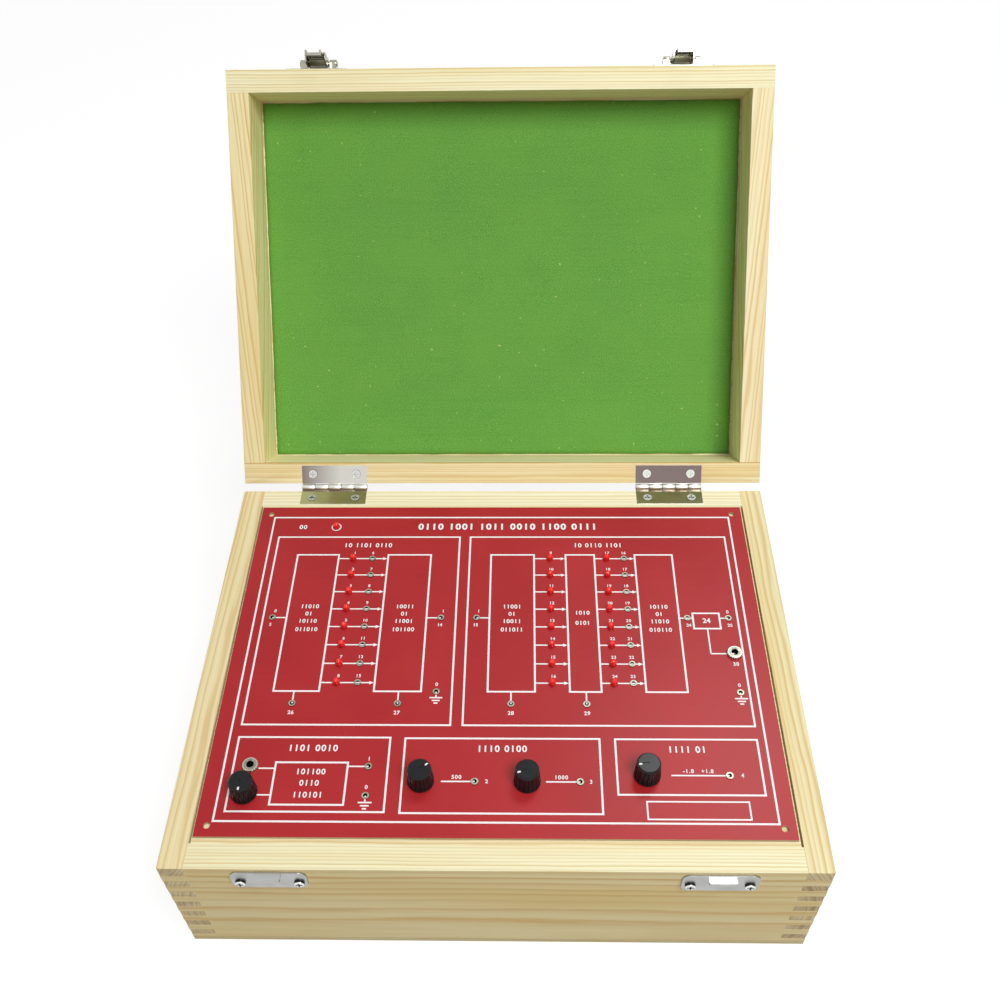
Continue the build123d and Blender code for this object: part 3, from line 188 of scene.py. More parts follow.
class Tree:
    """The node tree of a material or world, emptied, with short calls to build it."""

    def __init__(self, holder):
        holder.use_nodes = True
        self.tree = holder.node_tree
        self.tree.nodes.clear()

    def add(self, kind, **settings):
        node = self.tree.nodes.new(kind)
        for key, value in settings.items():
            setattr(node, key, value)
        return node

    def link(self, source, target):
        self.tree.links.new(source, target)

    def feed(self, target, value):
        """Sets a socket to a number or colour, or links another socket to it."""
        if isinstance(value, bpy.types.NodeSocket):
            self.link(value, target)
        else:
            target.default_value = value

    def math(self, operation, a, b=0.0):
        node = self.add("ShaderNodeMath", operation=operation)
        for socket, value in zip(node.inputs, (a, b)):
            self.feed(socket, value)
        return node.outputs[0]

    def times(self, a, b):
        return self.math("MULTIPLY", a, b)

    def seen(self):
        """One for rays from the camera, mirrors and glass, and nothing for light that spreads."""
        rays = self.add("ShaderNodeLightPath").outputs
        seen = self.math("MAXIMUM", rays["Is Camera Ray"], rays["Is Glossy Ray"])
        return self.math("MAXIMUM", seen, rays["Is Transmission Ray"])

    def blend(self, factor, first, second, target):
        """Mixes two shaders by a factor, into an output."""
        node = self.add("ShaderNodeMixShader")
        for source, socket in zip((factor, first, second), node.inputs):
            self.link(source, socket)
        self.link(node.outputs["Shader"], target)


class Shader(Tree):
    """A material's node tree round one surface shader."""

    def __init__(self, name):
        self.material = bpy.data.materials.new(name)
        super().__init__(self.material)
        self.output = self.add("ShaderNodeOutputMaterial")
        self.surface = self.add("ShaderNodeBsdfPrincipled")
        self.link(self.surface.outputs["BSDF"], self.output.inputs["Surface"])

    def set(self, **values):
        """Sets sockets of the surface shader, named with underscores for spaces."""
        for key, value in values.items():
            self.feed(self.surface.inputs[key.replace("_", " ")], value)

    def place(self):
        """Object coordinates in millimetres."""
        coordinates = self.add("ShaderNodeTexCoord")
        scaled = self.add("ShaderNodeVectorMath", operation="SCALE")
        self.link(coordinates.outputs["Object"], scaled.inputs[0])
        scaled.inputs["Scale"].default_value = 1 / MM
        return scaled.outputs["Vector"]

    def facing(self):
        """The surface's direction in object space."""
        return self.add("ShaderNodeTexCoord").outputs["Normal"]

    def shut(self, vector, centre=(0, 0, 0)):
        """Turns a direction, or a place about a centre, from the open lid to the shut one."""
        node = self.add("ShaderNodeVectorRotate", rotation_type="X_AXIS")
        self.link(vector, node.inputs["Vector"])
        node.inputs["Center"].default_value = centre
        node.inputs["Angle"].default_value = -LID_ANGLE
        return node.outputs["Vector"]

    def upward(self, low=0.0, high=1.0):
        """From low on upright faces to high on level ones that face up."""
        return self.span(self.parts(self.facing())[2], 0.5, 0.9, low, high)

    def stretched(self, vector, scale, shift=(0, 0, 0)):
        node = self.add("ShaderNodeMapping")
        self.link(vector, node.inputs["Vector"])
        node.inputs["Scale"].default_value = scale
        node.inputs["Location"].default_value = shift
        return node.outputs["Vector"]

    def parts(self, vector):
        node = self.add("ShaderNodeSeparateXYZ")
        self.link(vector, node.inputs[0])
        return node.outputs

    def noise(self, vector, scale, detail=3.0, roughness=0.5, distortion=0.0):
        node = self.add("ShaderNodeTexNoise")
        self.link(vector, node.inputs["Vector"])
        node.inputs["Scale"].default_value = scale
        node.inputs["Detail"].default_value = detail
        node.inputs["Roughness"].default_value = roughness
        node.inputs["Distortion"].default_value = distortion
        return node.outputs["Fac"]

    def wander(self, value, scale, reach):
        """Noise along one number, between minus and plus a reach."""
        node = self.add("ShaderNodeTexNoise", noise_dimensions="1D")
        self.link(value, node.inputs["W"])
        node.inputs["Scale"].default_value = scale
        node.inputs["Detail"].default_value = 1.0
        return self.span(node.outputs["Fac"], 0.2, 0.8, -reach, reach)

    def total(self, *values):
        result = values[0]
        for value in values[1:]:
            result = self.math("ADD", result, value)
        return result

    def distance(self, a, b):
        """How far a place lies from a line, from its two distances square to it."""
        return self.math("SQRT", self.total(self.times(a, a), self.times(b, b)))

    def ramp(self, factor, stops):
        node = self.add("ShaderNodeValToRGB")
        self.link(factor, node.inputs["Fac"])
        elements = node.color_ramp.elements
        while len(elements) < len(stops):
            elements.new(0.5)
        for element, (position, colour) in zip(elements, stops):
            element.position = position
            if isinstance(colour, (int, float)):
                colour = (colour, colour, colour)
            element.color = (*colour, 1)
        return node.outputs["Color"]

    def span(self, value, low, high, to_low=0.0, to_high=1.0):
        node = self.add("ShaderNodeMapRange")
        self.feed(node.inputs["Value"], value)
        for key, limit in (
            ("From Min", low),
            ("From Max", high),
            ("To Min", to_low),
            ("To Max", to_high),
        ):
            node.inputs[key].default_value = limit
        return node.outputs["Result"]

    def mix(self, factor, a, b, blend="MIX"):
        node = self.add("ShaderNodeMix", data_type="RGBA", blend_type=blend)
        self.feed(node.inputs["Factor"], factor)
        colour_sockets = [s for s in node.inputs if s.type == "RGBA"]
        for socket, value in zip(colour_sockets, (a, b)):
            if not isinstance(value, bpy.types.NodeSocket):
                value = (*value, 1) if len(value) == 3 else value
            self.feed(socket, value)
        return [s for s in node.outputs if s.type == "RGBA"][0]

    def bump(self, height, strength, distance=1 * MM):
        node = self.add("ShaderNodeBump")
        self.link(height, node.inputs["Height"])
        node.inputs["Strength"].default_value = strength
        node.inputs["Distance"].default_value = distance
        self.link(node.outputs["Normal"], self.surface.inputs["Normal"])
        return self


# Wood
def pine(
    name, grain, pith, spacing, opened=False, sway=0.4, slant=0.0, contrast=1.0, pale=1.0, painted_light=()
):
    """Pale softwood cut from a round stem.

    The pith lies beside the board, at a distance across it and a height. Boards of a pair
    mirror each other, and differ in how their rings wander. Each entry of painted_light is
    painted light and shade: it names the axis and the direction of the faces it lightens or
    darkens, and which board of the pair.
    """
    made = Shader(name)
    place = made.place()
    facing = made.facing()
    if opened:
        place = made.shut(place, HINGE_PIN / MM)
        facing = made.shut(facing)
    x, y, z = made.parts(place)
    along, side = (x, y) if grain == "X" else (y, x)
    hand = made.math("SIGN", side)
    travel = made.total(along, made.times(hand, PAIR_TRAVEL))

    # Growth rings round the pith, which wanders a little along the board
    away = made.total(
        made.math("SUBTRACT", made.math("ABSOLUTE", side), pith[0]),
        made.wander(travel, 0.006, sway),
        made.wander(travel, 0.04, sway * 0.12),
        made.times(along, slant),
    )
    high = made.total(z, made.wander(travel, 0.009, sway * 2.0), -pith[1])
    radius = made.distance(away, high)
    stretch = (0.02, 0.25, 0.25) if grain == "X" else (0.25, 0.02, 0.25)
    ripple = made.span(made.noise(made.stretched(place, stretch), 1.0, 2.0), 0.2, 0.8, -0.16, 0.16)
    own = made.total(radius, made.times(hand, PAIR_RADIUS))
    ring = made.total(
        made.math("DIVIDE", radius, spacing),
        made.wander(own, 0.12, 0.9),
        ripple,
    )
    phase = made.math("FRACT", ring)
    band = made.ramp(
        phase,
        [(0.0, 0.22), (0.12, 0.0), (0.40, 0.05), (0.68, 0.45), (0.84, 1.0), (0.94, 0.82), (1.0, 0.22)],
    )
    whole = made.total(made.math("FLOOR", ring), made.times(hand, PAIR_RING))
    vigour = made.wander(whole, 0.83, 0.38)
    band = made.times(band, made.total(vigour, 0.66))

    # Fibres and broad warm streaks that follow the grain
    fine = (0.012, 2.4, 2.4) if grain == "X" else (2.4, 0.012, 2.4)
    fibre = made.noise(made.stretched(place, fine), 1.0, 3.0, 0.6)
    broad = (0.0035, 0.07, 0.05) if grain == "X" else (0.07, 0.0035, 0.05)
    streak = made.noise(made.stretched(place, broad, (pith[0], 3.7, pith[1])), 1.0, 2.0)

    early = (0.95 * pale, 0.88 * pale, 0.585 * pale)
    late = (0.70 * pale, 0.46 * pale, 0.15 * pale)
    warm = (0.84 * pale, 0.65 * pale, 0.27 * pale)
    colour = made.mix(made.span(streak, 0.48, 0.74, 0.0, 0.75), early, warm)
    colour = made.mix(made.times(band, contrast), colour, late)
    grey = (0.74 * pale, 0.60 * pale, 0.32 * pale)
    colour = made.mix(made.span(fibre, 0.40, 0.75, 0.0, 0.42), colour, grey)

    # Painted light and shade: faces turned one way are made lighter or darker, on one board of the
    # pair
    for axis, direction, board, shade in painted_light:
        toward = made.span(made.times(made.parts(facing)[axis], direction), 0.5, 0.9)
        chosen = made.math("GREATER_THAN", made.times(side, board), 0.0)
        colour = made.mix(made.times(toward, chosen), colour, shade, "MULTIPLY")

    # End grain: darker and greyer, with the rings crossed by fine pores
    end_axis = made.parts(facing)[0 if grain == "X" else 1]
    end = made.span(made.math("ABSOLUTE", end_axis), 0.75, 0.95)
    pores = made.noise(place, 2.2, 3.0, 0.7)
    end_colour = made.mix(made.span(pores, 0.35, 0.7), (0.66, 0.53, 0.31), (0.50, 0.38, 0.21))
    end_colour = made.mix(made.times(band, 0.85), end_colour, (0.30, 0.19, 0.085))
    stain = made.noise(made.stretched(place, (0.05, 0.05, 0.09)), 1.0, 1.0)
    stain = made.span(stain, 0.40, 0.62, 0.45, 0.97)
    colour = made.mix(made.times(end, stain), colour, end_colour)

    made.set(
        Base_Color=colour,
        Roughness=made.span(fibre, 0.2, 0.8, 0.50, 0.66),
        Specular_IOR_Level=0.25,
    )
    height = made.total(made.times(band, 0.3), made.times(fibre, 0.5))
    return made.bump(height, 0.12, 0.2 * MM).material


def felt():
    """Needled wool: short tangled hairs, cloudy patches and a few pale flecks."""
    made = Shader("felt")
    place = made.shut(made.place(), HINGE_PIN / MM)
    cloud = made.noise(place, 0.03, 3.0, 0.6)
    tuft = made.noise(place, 1.7, 3.0, 0.75)
    hair = made.noise(made.stretched(place, (0.7, 2.0, 1.4)), 1.3, 3.0, 0.7, 0.8)
    rows = made.noise(made.stretched(place, (0.02, 0.9, 0.9)), 1.0, 2.0)
    colour = made.mix(made.span(tuft, 0.33, 0.67), (0.090, 0.30, 0.036), (0.215, 0.49, 0.110))
    colour = made.mix(made.span(hair, 0.52, 0.72, 0.0, 0.45), colour, (0.085, 0.29, 0.034))
    colour = made.mix(made.span(rows, 0.5, 0.75, 0.0, 0.25), colour, (0.10, 0.32, 0.045))
    colour = made.mix(made.span(cloud, 0.40, 0.7, 0.0, 0.30), colour, (0.19, 0.45, 0.070))
    fleck = made.span(made.noise(place, 0.42, 1.0, 0.4), 0.765, 0.80)
    colour = made.mix(made.times(fleck, 0.8), colour, (0.50, 0.66, 0.20))
    made.set(Base_Color=colour, Roughness=0.95, Specular_IOR_Level=0.05, Sheen_Weight=0.12)
    made.surface.inputs["Sheen Roughness"].default_value = 0.5
    made.surface.inputs["Sheen Tint"].default_value = (0.6, 0.9, 0.3, 1)
    height = made.total(made.times(tuft, 0.6), made.times(hair, 0.4))
    return made.bump(height, 0.7, 0.5 * MM).material


# Panel and its ink
def panel_red():
    """Red lacquer on sheet, satin, with a cut edge that shows the pale core."""
    made = Shader("panel_red")
    place = made.place()
    cloud = made.noise(place, 0.02, 3.0)
    speck = made.noise(place, 1.4, 2.0)
    colour = made.mix(made.span(cloud, 0.3, 0.7), (0.40, 0.014, 0.018), (0.46, 0.022, 0.026))
    dust = made.span(speck, 0.74, 0.78, 0.0, 0.25)
    colour = made.mix(dust, colour, (0.55, 0.12, 0.12))
    edge = made.span(made.math("ABSOLUTE", made.parts(made.facing())[2]), 0.3, 0.6, 1.0, 0.0)
    colour = made.mix(edge, colour, (0.40, 0.31, 0.19))
    made.set(
        Base_Color=colour,
        Roughness=made.span(cloud, 0.2, 0.8, 0.30, 0.37),
        Specular_IOR_Level=0.28,
    )
    return made.bump(made.noise(place, 0.5, 2.0), 0.03, 0.2 * MM).material


def panel_ink():
    """White ink, thin in places, so that the red shows through."""
    made = Shader("panel_ink")
    place = made.place()
    worn = made.span(made.noise(place, 1.8, 3.0, 0.6), 0.35, 0.75)
    colour = made.mix(worn, (0.98, 0.97, 0.97), (0.92, 0.87, 0.87))
    made.set(Base_Color=colour, Roughness=0.45, Specular_IOR_Level=0.3)
    return made.material


# Metals
def metal(name, colour, rough, brushed=None, stain=0.25):
    """Plated sheet or turned metal with duller patches, brushed along an axis if one is given."""
    made = Shader(name)
    place = made.place()
    scale = {None: (1, 1, 1), "X": (0.05, 2.0, 2.0), "Z": (2.0, 2.0, 0.05)}[brushed]
    grain = made.noise(made.stretched(place, scale), 3.0, 3.0, 0.6)
    cloud = made.noise(place, 0.11, 2.0, 0.4)
    darker = tuple(value * 0.45 for value in colour)
    shade = made.mix(made.span(cloud, 0.38, 0.68, 0.0, stain), colour, darker)
    made.set(
        Base_Color=shade,
        Metallic=1.0,
        Roughness=made.span(made.math("ADD", grain, cloud), 0.6, 1.4, rough * 0.75, rough * 1.35),
    )
    height = made.total(grain, made.times(cloud, 6.0))
    return made.bump(height, 0.06 if brushed else 0.03, 0.1 * MM).material


def hinge_nickel_with_painted_light(name, opened=False):
    """Bright nickel plate. The base leaves are dulled in patches at random; the lid leaves have
    painted reflection, dark at the left hinge's outer end and brightening along it, and are
    darker over the right hinge. The rolled knuckles have painted shade, brown, on their lower faces.
    """
    made = Shader(name)
    place = made.place()
    x, y, z = made.parts(place)
    grain = made.noise(made.stretched(place, (0.05, 2.0, 2.0)), 3.0, 3.0, 0.6)
    cloud = made.noise(place, 0.10, 2.0, 0.4)
    # Painted reflection on the lid leaves: dark at the left hinge's outer end, brightening along it,
    # and darker over the right hinge. The base leaves get duller patches at random.
    if opened:
        outer_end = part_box("lid_hinge_leaves")[0].x / MM
        left = made.span(x, outer_end, outer_end + 0.6 * HINGE_LENGTH, 0.10, 0.85)
        dulling_and_reflection = made.math("ADD", left, made.times(made.math("GREATER_THAN", x, 0.0), -0.78))
    else:
        dulling_and_reflection = made.span(cloud, 0.35, 0.7, 1.0, 0.75)
    colour = made.mix(dulling_and_reflection, (0.20, 0.145, 0.140), (0.74, 0.73, 0.66))

    # The knuckles lie round the pin
    off = made.total(y, -HINGE_PIN.y / MM)
    up = made.total(z, -HINGE_PIN.z / MM)
    from_pin = made.distance(off, up)
    knuckle = made.span(from_pin, *KNUCKLE_EDGE, 1.0, 0.0)
    # Painted shade: the knuckles' faces that turn down are brown
    painted_knuckle_shade = made.span(made.parts(made.facing())[2], 0.40, 0.75, 1.0, 0.0)
    colour = made.mix(knuckle, colour, (0.70, 0.70, 0.64))
    colour = made.mix(made.times(knuckle, painted_knuckle_shade), colour, (0.22, 0.155, 0.095))
    made.set(
        Base_Color=colour,
        Metallic=1.0,
        Roughness=made.total(made.span(grain, 0.2, 0.8, 0.09, 0.15), made.times(knuckle, 0.18)),
    )
    return made.bump(grain, 0.03, 0.05 * MM).material


def screw_zinc_with_painted_light(name, opened=False):
    """Zinc-plated heads, with painted light set by how far each face tilts from the head's axis:
    a painted highlight on the dome, less of it on the flat, and painted shade in the recess
    and on the sides.

    The screws behind the middle stand upright, and those before it point forwards.
    """
    made = Shader(name)
    place = made.place()
    facing = made.facing()
    if opened:
        place = made.shut(place, HINGE_PIN / MM)
        facing = made.shut(facing)
    behind = made.math("GREATER_THAN", made.parts(place)[1], 0.0)
    upright = made.math("ABSOLUTE", made.parts(facing)[2])
    forward = made.math("ABSOLUTE", made.parts(facing)[1])
    tilt = made.total(
        made.times(behind, upright),
        made.times(made.math("SUBTRACT", 1.0, behind), forward),
    )
    # Painted light by tilt: a painted highlight on the dome, less on the flat top, and painted shade
    # in the recess and on the sides
    shade = made.ramp(
        tilt, [(0.0, 0.0), (0.30, 0.04), (0.55, 0.9), (0.90, 1.0), (0.97, 0.78), (1.0, 0.70)]
    )
    made.set(
        Base_Color=made.mix(shade, (0.03, 0.03, 0.03), (0.84, 0.86, 0.84)),
        Metallic=1.0,
        Roughness=made.span(made.noise(place, 2.0), 0.3, 0.7, 0.26, 0.40),
    )
    return made.bump(made.noise(place, 4.0, 2.0), 0.03, 0.1 * MM).material


def socket_nickel_with_painted_shade():
    """Turned nickel on the collar face; every other face, the bore too, is painted shade, near black
    and not metal.
    """
    made = Shader("socket_nickel_with_painted_shade")
    place = made.place()
    # Painted shade: all but the upward collar face above the panel is near black
    collar = made.times(made.upward(), made.math("GREATER_THAN", made.parts(place)[2], PANEL_TOP))
    cloud = made.noise(place, 0.7, 3.0)
    face = made.mix(made.span(cloud, 0.35, 0.7), (0.40, 0.41, 0.32), (0.22, 0.23, 0.17))
    made.set(
        Base_Color=made.mix(collar, (0.012, 0.012, 0.010), face),
        Metallic=collar,
        Roughness=made.span(collar, 0.0, 1.0, 0.70, 0.34),
        Specular_IOR_Level=0.05,
    )
    return made.bump(made.noise(place, 4.0, 2.0), 0.02, 0.1 * MM).material


def jack_with_painted_shade():
    """A plated bush that shows above the panel, on a black moulded body; the bush's upright
    faces carry painted shade, near black.
    """
    made = Shader("jack_with_painted_shade")
    place = made.place()
    plated = made.math("GREATER_THAN", made.parts(place)[2], PANEL_TOP - BUSH_DEPTH)
    cloud = made.noise(place, 0.8, 3.0)
    plating_and_painted_shade = made.mix(made.span(cloud, 0.35, 0.7), (0.36, 0.35, 0.28), (0.16, 0.155, 0.12))
    # Painted shade: the bush's upright faces are near black
    plating_and_painted_shade = made.mix(made.upward(0.08, 1.0), (0.01, 0.01, 0.01), plating_and_painted_shade)
    made.set(
        Base_Color=made.mix(plated, (0.012, 0.012, 0.013), plating_and_painted_shade),
        Metallic=plated,
        Roughness=made.span(cloud, 0.3, 0.7, 0.22, 0.36),
    )
    return made.bump(made.noise(place, 3.0, 2.0), 0.03, 0.1 * MM).material


# Plastics and the rest
def plastic(name, colour, rough, bump=0.03, coat=0.0, gloss=0.5):
    """Moulded plastic, sleeve or tape, faintly mottled."""
    made = Shader(name)
    place = made.place()
    cloud = made.noise(place, 0.6, 3.0)
    fine = made.noise(place, 6.0, 2.0)
    lighter = tuple(min(1.0, value * 1.15 + 0.004) for value in colour)
    made.set(
        Base_Color=made.mix(made.span(cloud, 0.3, 0.7), colour, lighter),
        Roughness=made.span(fine, 0.25, 0.75, rough * 0.85, rough * 1.15),
        Specular_IOR_Level=gloss,
        Coat_Weight=coat,
    )
    return made.bump(fine, bump, 0.1 * MM).material


def lamp_epoxy_with_painted_glow():
    """Clear red resin, with painted light: painted shade, deep red, at the flange, a lighter red
    at the crown, and a faint painted glow in the same colours, though the lamps are unlit.
    """
    made = Shader("lamp_epoxy_with_painted_glow")
    place = made.place()
    crown = made.span(made.parts(place)[2], PANEL_TOP + LAMP_FLANGE, PANEL_TOP + LAMP_CROWN)
    # Painted light: darker red at the flange, lighter at the crown, and the same colours as a faint
    # painted glow
    colour = made.mix(crown, (0.34, 0.006, 0.007), (0.82, 0.013, 0.008))
    made.set(
        Base_Color=colour,
        Roughness=made.span(made.noise(place, 4.0), 0.3, 0.7, 0.05, 0.12),
        Emission_Color=colour,
        Subsurface_Weight=0.25,
    )
    made.surface.inputs["Emission Strength"].default_value = 0.2
    made.surface.inputs["Subsurface Radius"].default_value = (0.004, 0.0006, 0.0005)
    made.surface.inputs["Subsurface Scale"].default_value = 0.5
    return made.material


# Painted light and shade on the boards' faces, lighter on some and darker on others: axis and
# direction of the face, board of the pair, and shade
BASE_LONG_PAINTED_LIGHT = [
    (2, 1, -1, (1.02, 1.07, 1.14)),
    (2, 1, 1, (1.03, 1.08, 1.20)),
    (1, -1, -1, (0.95, 0.90, 0.80)),
]
BASE_SIDE_PAINTED_LIGHT = [(2, 1, -1, (0.96, 0.92, 0.86)), (2, 1, 1, (0.94, 0.92, 0.85))]
LID_LONG_PAINTED_LIGHT = [(2, -1, 1, (0.97, 0.93, 0.84)), (2, -1, -1, (1.0, 1.05, 1.08))]
LID_SIDE_PAINTED_LIGHT = [
    (2, -1, -1, (0.97, 0.94, 0.81)),
    (0, 1, -1, (1.04, 1.04, 0.90)),
    (0, -1, 1, (1.05, 1.08, 1.12)),
]

MATERIALS = {
    "base_long_pine": pine(
        "pine_base_long", "X", (-75, 12), 1.6, sway=0.22, contrast=0.85, painted_light=BASE_LONG_PAINTED_LIGHT
    ),
    "base_side_pine": pine(
        "pine_base_side", "Y", (70, 35), 2.5, sway=1.0, slant=0.012, painted_light=BASE_SIDE_PAINTED_LIGHT
    ),
    "base_ply": pine("pine_base_ply", "X", (0, -140), 2.2, sway=2.0, pale=0.8),
    "batten_pine": pine("pine_batten", "X", (-60, 20), 2.1, pale=0.97),
    "lid_long_pine": pine(
        "pine_lid_long", "X", (-30, 50), 1.7, opened=True, sway=0.4, painted_light=LID_LONG_PAINTED_LIGHT
    ),
    "lid_side_pine": pine(
        "pine_lid_side",
        "Y",
        (60, 60),
        2.9,
        opened=True,
        sway=0.8,
        slant=0.085,
        painted_light=LID_SIDE_PAINTED_LIGHT,
    ),
    "lid_ply": pine("pine_lid_ply", "X", (10, -60), 2.6, opened=True, sway=3.0, pale=0.97),
    "printed_panel": panel_red(),
    "red_lamp": lamp_epoxy_with_painted_glow(),
    "socket_metal": socket_nickel_with_painted_shade(),
    "jack_plastic": jack_with_painted_shade(),
    "nut_metal": metal("nut_nickel", (0.50, 0.49, 0.41), 0.24),
    "pot_metal": metal("pot_steel", (0.45, 0.45, 0.43), 0.35),
    "chip_plastic": plastic("chip_black", (0.012, 0.012, 0.013), 0.45),
    "can_blue": plastic("can_sleeve", (0.012, 0.02, 0.09), 0.3),
    "resistor_body": plastic("resistor_tan", (0.55, 0.38, 0.20), 0.4),
    "header_plastic": plastic("header_black", (0.014, 0.014, 0.015), 0.45),
    "ribbon_grey": plastic("ribbon_grey", (0.33, 0.33, 0.34), 0.5),
    "board_green": plastic("board_green", (0.012, 0.13, 0.035), 0.3),
    "standoff_metal": metal("standoff_brass", (0.62, 0.42, 0.14), 0.25),
    "heatsink_metal": metal("heatsink_black", (0.05, 0.05, 0.055), 0.4, "Z"),
    "core_iron": metal("core_iron", (0.16, 0.15, 0.15), 0.5, "X"),
    "coil_tape": plastic("coil_tape", (0.62, 0.42, 0.04), 0.35),
    "fitting_steel": metal("strap_steel", (0.52, 0.52, 0.50), 0.35, "X"),
    "inlet_plastic": plastic("inlet_black", (0.014, 0.014, 0.015), 0.42, bump=0.06),
    "pin_metal": metal("pin_nickel", (0.48, 0.46, 0.40), 0.25),
    "screw_metal": metal("screw_zinc", (0.62, 0.63, 0.62), 0.16, stain=0.6),
    "rocker_plastic": plastic("rocker_black", (0.012, 0.012, 0.013), 0.2, coat=0.3),
    "wire_jacket": plastic("wire_jacket", (0.30, 0.03, 0.02), 0.4),
    "strike_metal": metal("strike_nickel", (0.44, 0.45, 0.44), 0.33, "X"),
    "hinge_metal": hinge_nickel_with_painted_light("hinge_nickel"),
    "latch_metal": metal("latch_nickel", (0.46, 0.45, 0.37), 0.15, stain=0.6),
    "green_felt": felt(),
    "knob_plastic": plastic("knob_black", (0.006, 0.007, 0.008), 0.20, bump=0.02, gloss=0.22),
    "shaft_metal": metal("shaft_aluminium", (0.6, 0.6, 0.6), 0.3),
}

# Finishes of single nodes, in place of their slot's, with their painted reflection, highlight and
# shade
NODE_MATERIALS = {
    "lid_hinge_leaves": hinge_nickel_with_painted_light("lid_hinge_nickel", opened=True),
    "base_screws": screw_zinc_with_painted_light("base_screw_zinc"),
    "lid_screws": screw_zinc_with_painted_light("lid_screw_zinc", opened=True),
}
ink = panel_ink()
mark_white = plastic("mark_white", (0.80, 0.80, 0.78), 0.4)

for part in frame["record"]["subparts"]:
    node = nodes[part["node"]]
    node.data.materials.clear()
    finish = NODE_MATERIALS.get(part["node"], MATERIALS[part["material_slot"]])
    node.data.materials.append(finish)


def piece(name, mesh, body, material):
    """Adds a mesh to the scene as a piece that rides on a body."""
    made = bpy.data.objects.new(name, mesh)
    bpy.context.scene.collection.objects.link(made)
    mesh.materials.clear()
    mesh.materials.append(material)
    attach(made, body)
    return made


def soften(name, width):
    """Rounds a node's sharp edges without touching its own mesh."""
    weld = nodes[name].modifiers.new("weld", "WELD")
    weld.merge_threshold = WELD_REACH
    bevel = nodes[name].modifiers.new("bevel", "BEVEL")
    bevel.width = width
    bevel.segments = 2
    bevel.limit_method = "ANGLE"
    bevel.angle_limit = SHARP_ANGLE
    bevel.harden_normals = True


for name in (
    "base_front_board",
    "base_back_board",
    "base_side_boards",
    "base_bottom_panel",
    "lid_front_board",
    "lid_back_board",
    "lid_side_boards",
    "lid_top_panel",
):
    soften(name, BOARD_ROUNDING)

for name in ("strikes", "base_hinge_leaves", "lid_hinge_leaves", "latch_plates"):
    soften(name, SHEET_ROUNDING)


# The print on the panel: lines, arrows, earth signs and plain numbers
panel_low, panel_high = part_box("control_panel")
panel_middle = (panel_low + panel_high) / 2
ink_height = panel_high.z + INK_LIFT
ink_mesh = bmesh.new()


def on_panel(x, y, layer=0):
    """A place given in millimetres from the panel's middle, on one of the ink's layers."""
    height = ink_height + layer * LAYER_LIFT
    return Vector((panel_middle.x + x * MM, panel_middle.y + y * MM, height))


def fill(corners):
    ink_mesh.faces.new([ink_mesh.verts.new(corner) for corner in corners])


def stroke(start, end):
    """A straight thin line between two points."""
    a = on_panel(*start, 1)
    b = on_panel(*end, 1)
    along = (b - a).normalized() * THIN_LINE_WIDTH * MM / 2
    across = Vector((-along.y, along.x, 0))
    fill([a - across, b - across, b + across, a + across])


def bar(x0, x1, y0, y1):
    fill([on_panel(x0, y0), on_panel(x1, y0), on_panel(x1, y1), on_panel(x0, y1)])


def outline(x0, x1, y0, y1, width=LINE_WIDTH):
    """A box drawn with four bars that meet edge to edge."""
    half = width / 2
    for y in (y0, y1):
        bar(x0 - half, x1 + half, y - half, y + half)
    for x in (x0, x1):
        bar(x - half, x + half, y0 + half, y1 - half)


def arrow(x0, x1, y):
    """A signal line into a block, with a filled head."""
    tail = x1 - ARROW_LENGTH
    stroke((x0, y), (tail, y))
    half = ARROW_WIDTH / 2
    fill([on_panel(tail, y - half, 1), on_panel(x1, y, 1), on_panel(tail, y + half, 1)])


def earth(x, y):
    """A ground sign below a socket."""
    stroke((x, y), (x, y - EARTH_LEAD))
    for drop, half in EARTH_BARS:
        stroke((x - half, y - drop), (x + half, y - drop))


def ring(x, y, inner, outer):
    """The circle round the power lamp."""
    for n in range(RING_STEPS):
        a0 = radians(360 * n / RING_STEPS)
        a1 = radians(360 * (n + 1) / RING_STEPS)
        fill(
            [
                on_panel(x + inner * cos(a0), y + inner * sin(a0)),
                on_panel(x + outer * cos(a0), y + outer * sin(a0)),
                on_panel(x + outer * cos(a1), y + outer * sin(a1)),
                on_panel(x + inner * cos(a1), y + inner * sin(a1)),
            ]
        )


def number(text, x, y, height, spacing=1.0, weight=0.035):
    """Digits centred on a place, in the ink mesh."""
    curve = bpy.data.curves.new("digits", "FONT")
    curve.body = text
    curve.align_x = "CENTER"
    curve.align_y = "CENTER"
    curve.size = height * MM * FONT_PER_HEIGHT
    curve.space_character = spacing
    curve.offset = weight * height * MM
    holder = bpy.data.objects.new("digits", curve)
    digits = bpy.data.meshes.new_from_object(holder)
    digits.transform(Matrix.Translation(on_panel(x, y, 2)))
    ink_mesh.from_mesh(digits)
    bpy.data.objects.remove(holder)
    bpy.data.curves.remove(curve)
    bpy.data.meshes.remove(digits)


def from_middle(place):
    """A place in millimetres from the panel's middle."""
    at = Vector(place) - panel_middle
    return at.x / MM, at.y / MM


def socket_place(n):
    return from_middle(mounts[f"test_socket_{n}"]["pos_m"])


PROBE_ROWS = [socket_place(n)[1] for n in range(1, 9)]
ENCODER_PROBE_X = socket_place(1)[0]
OUTPUT_PROBE_X = socket_place(9)[0]
(
    SIGNAL_IN,
    CODE_OUT,
    CODE_IN,
    CONVERTER_OUT,
    FILTER_OUT,
    START,
    SHIFT_CLOCK,
    SECOND_CLOCK,
    LATCH_CLOCK,
    CODE_GROUND,
    FILTER_GROUND,
    MIC_OUT,
    MIC_GROUND,
    LOW_TONE_OUT,
    HIGH_TONE_OUT,
    DC_OUT,
) = (socket_place(n) for n in range(17, 33))


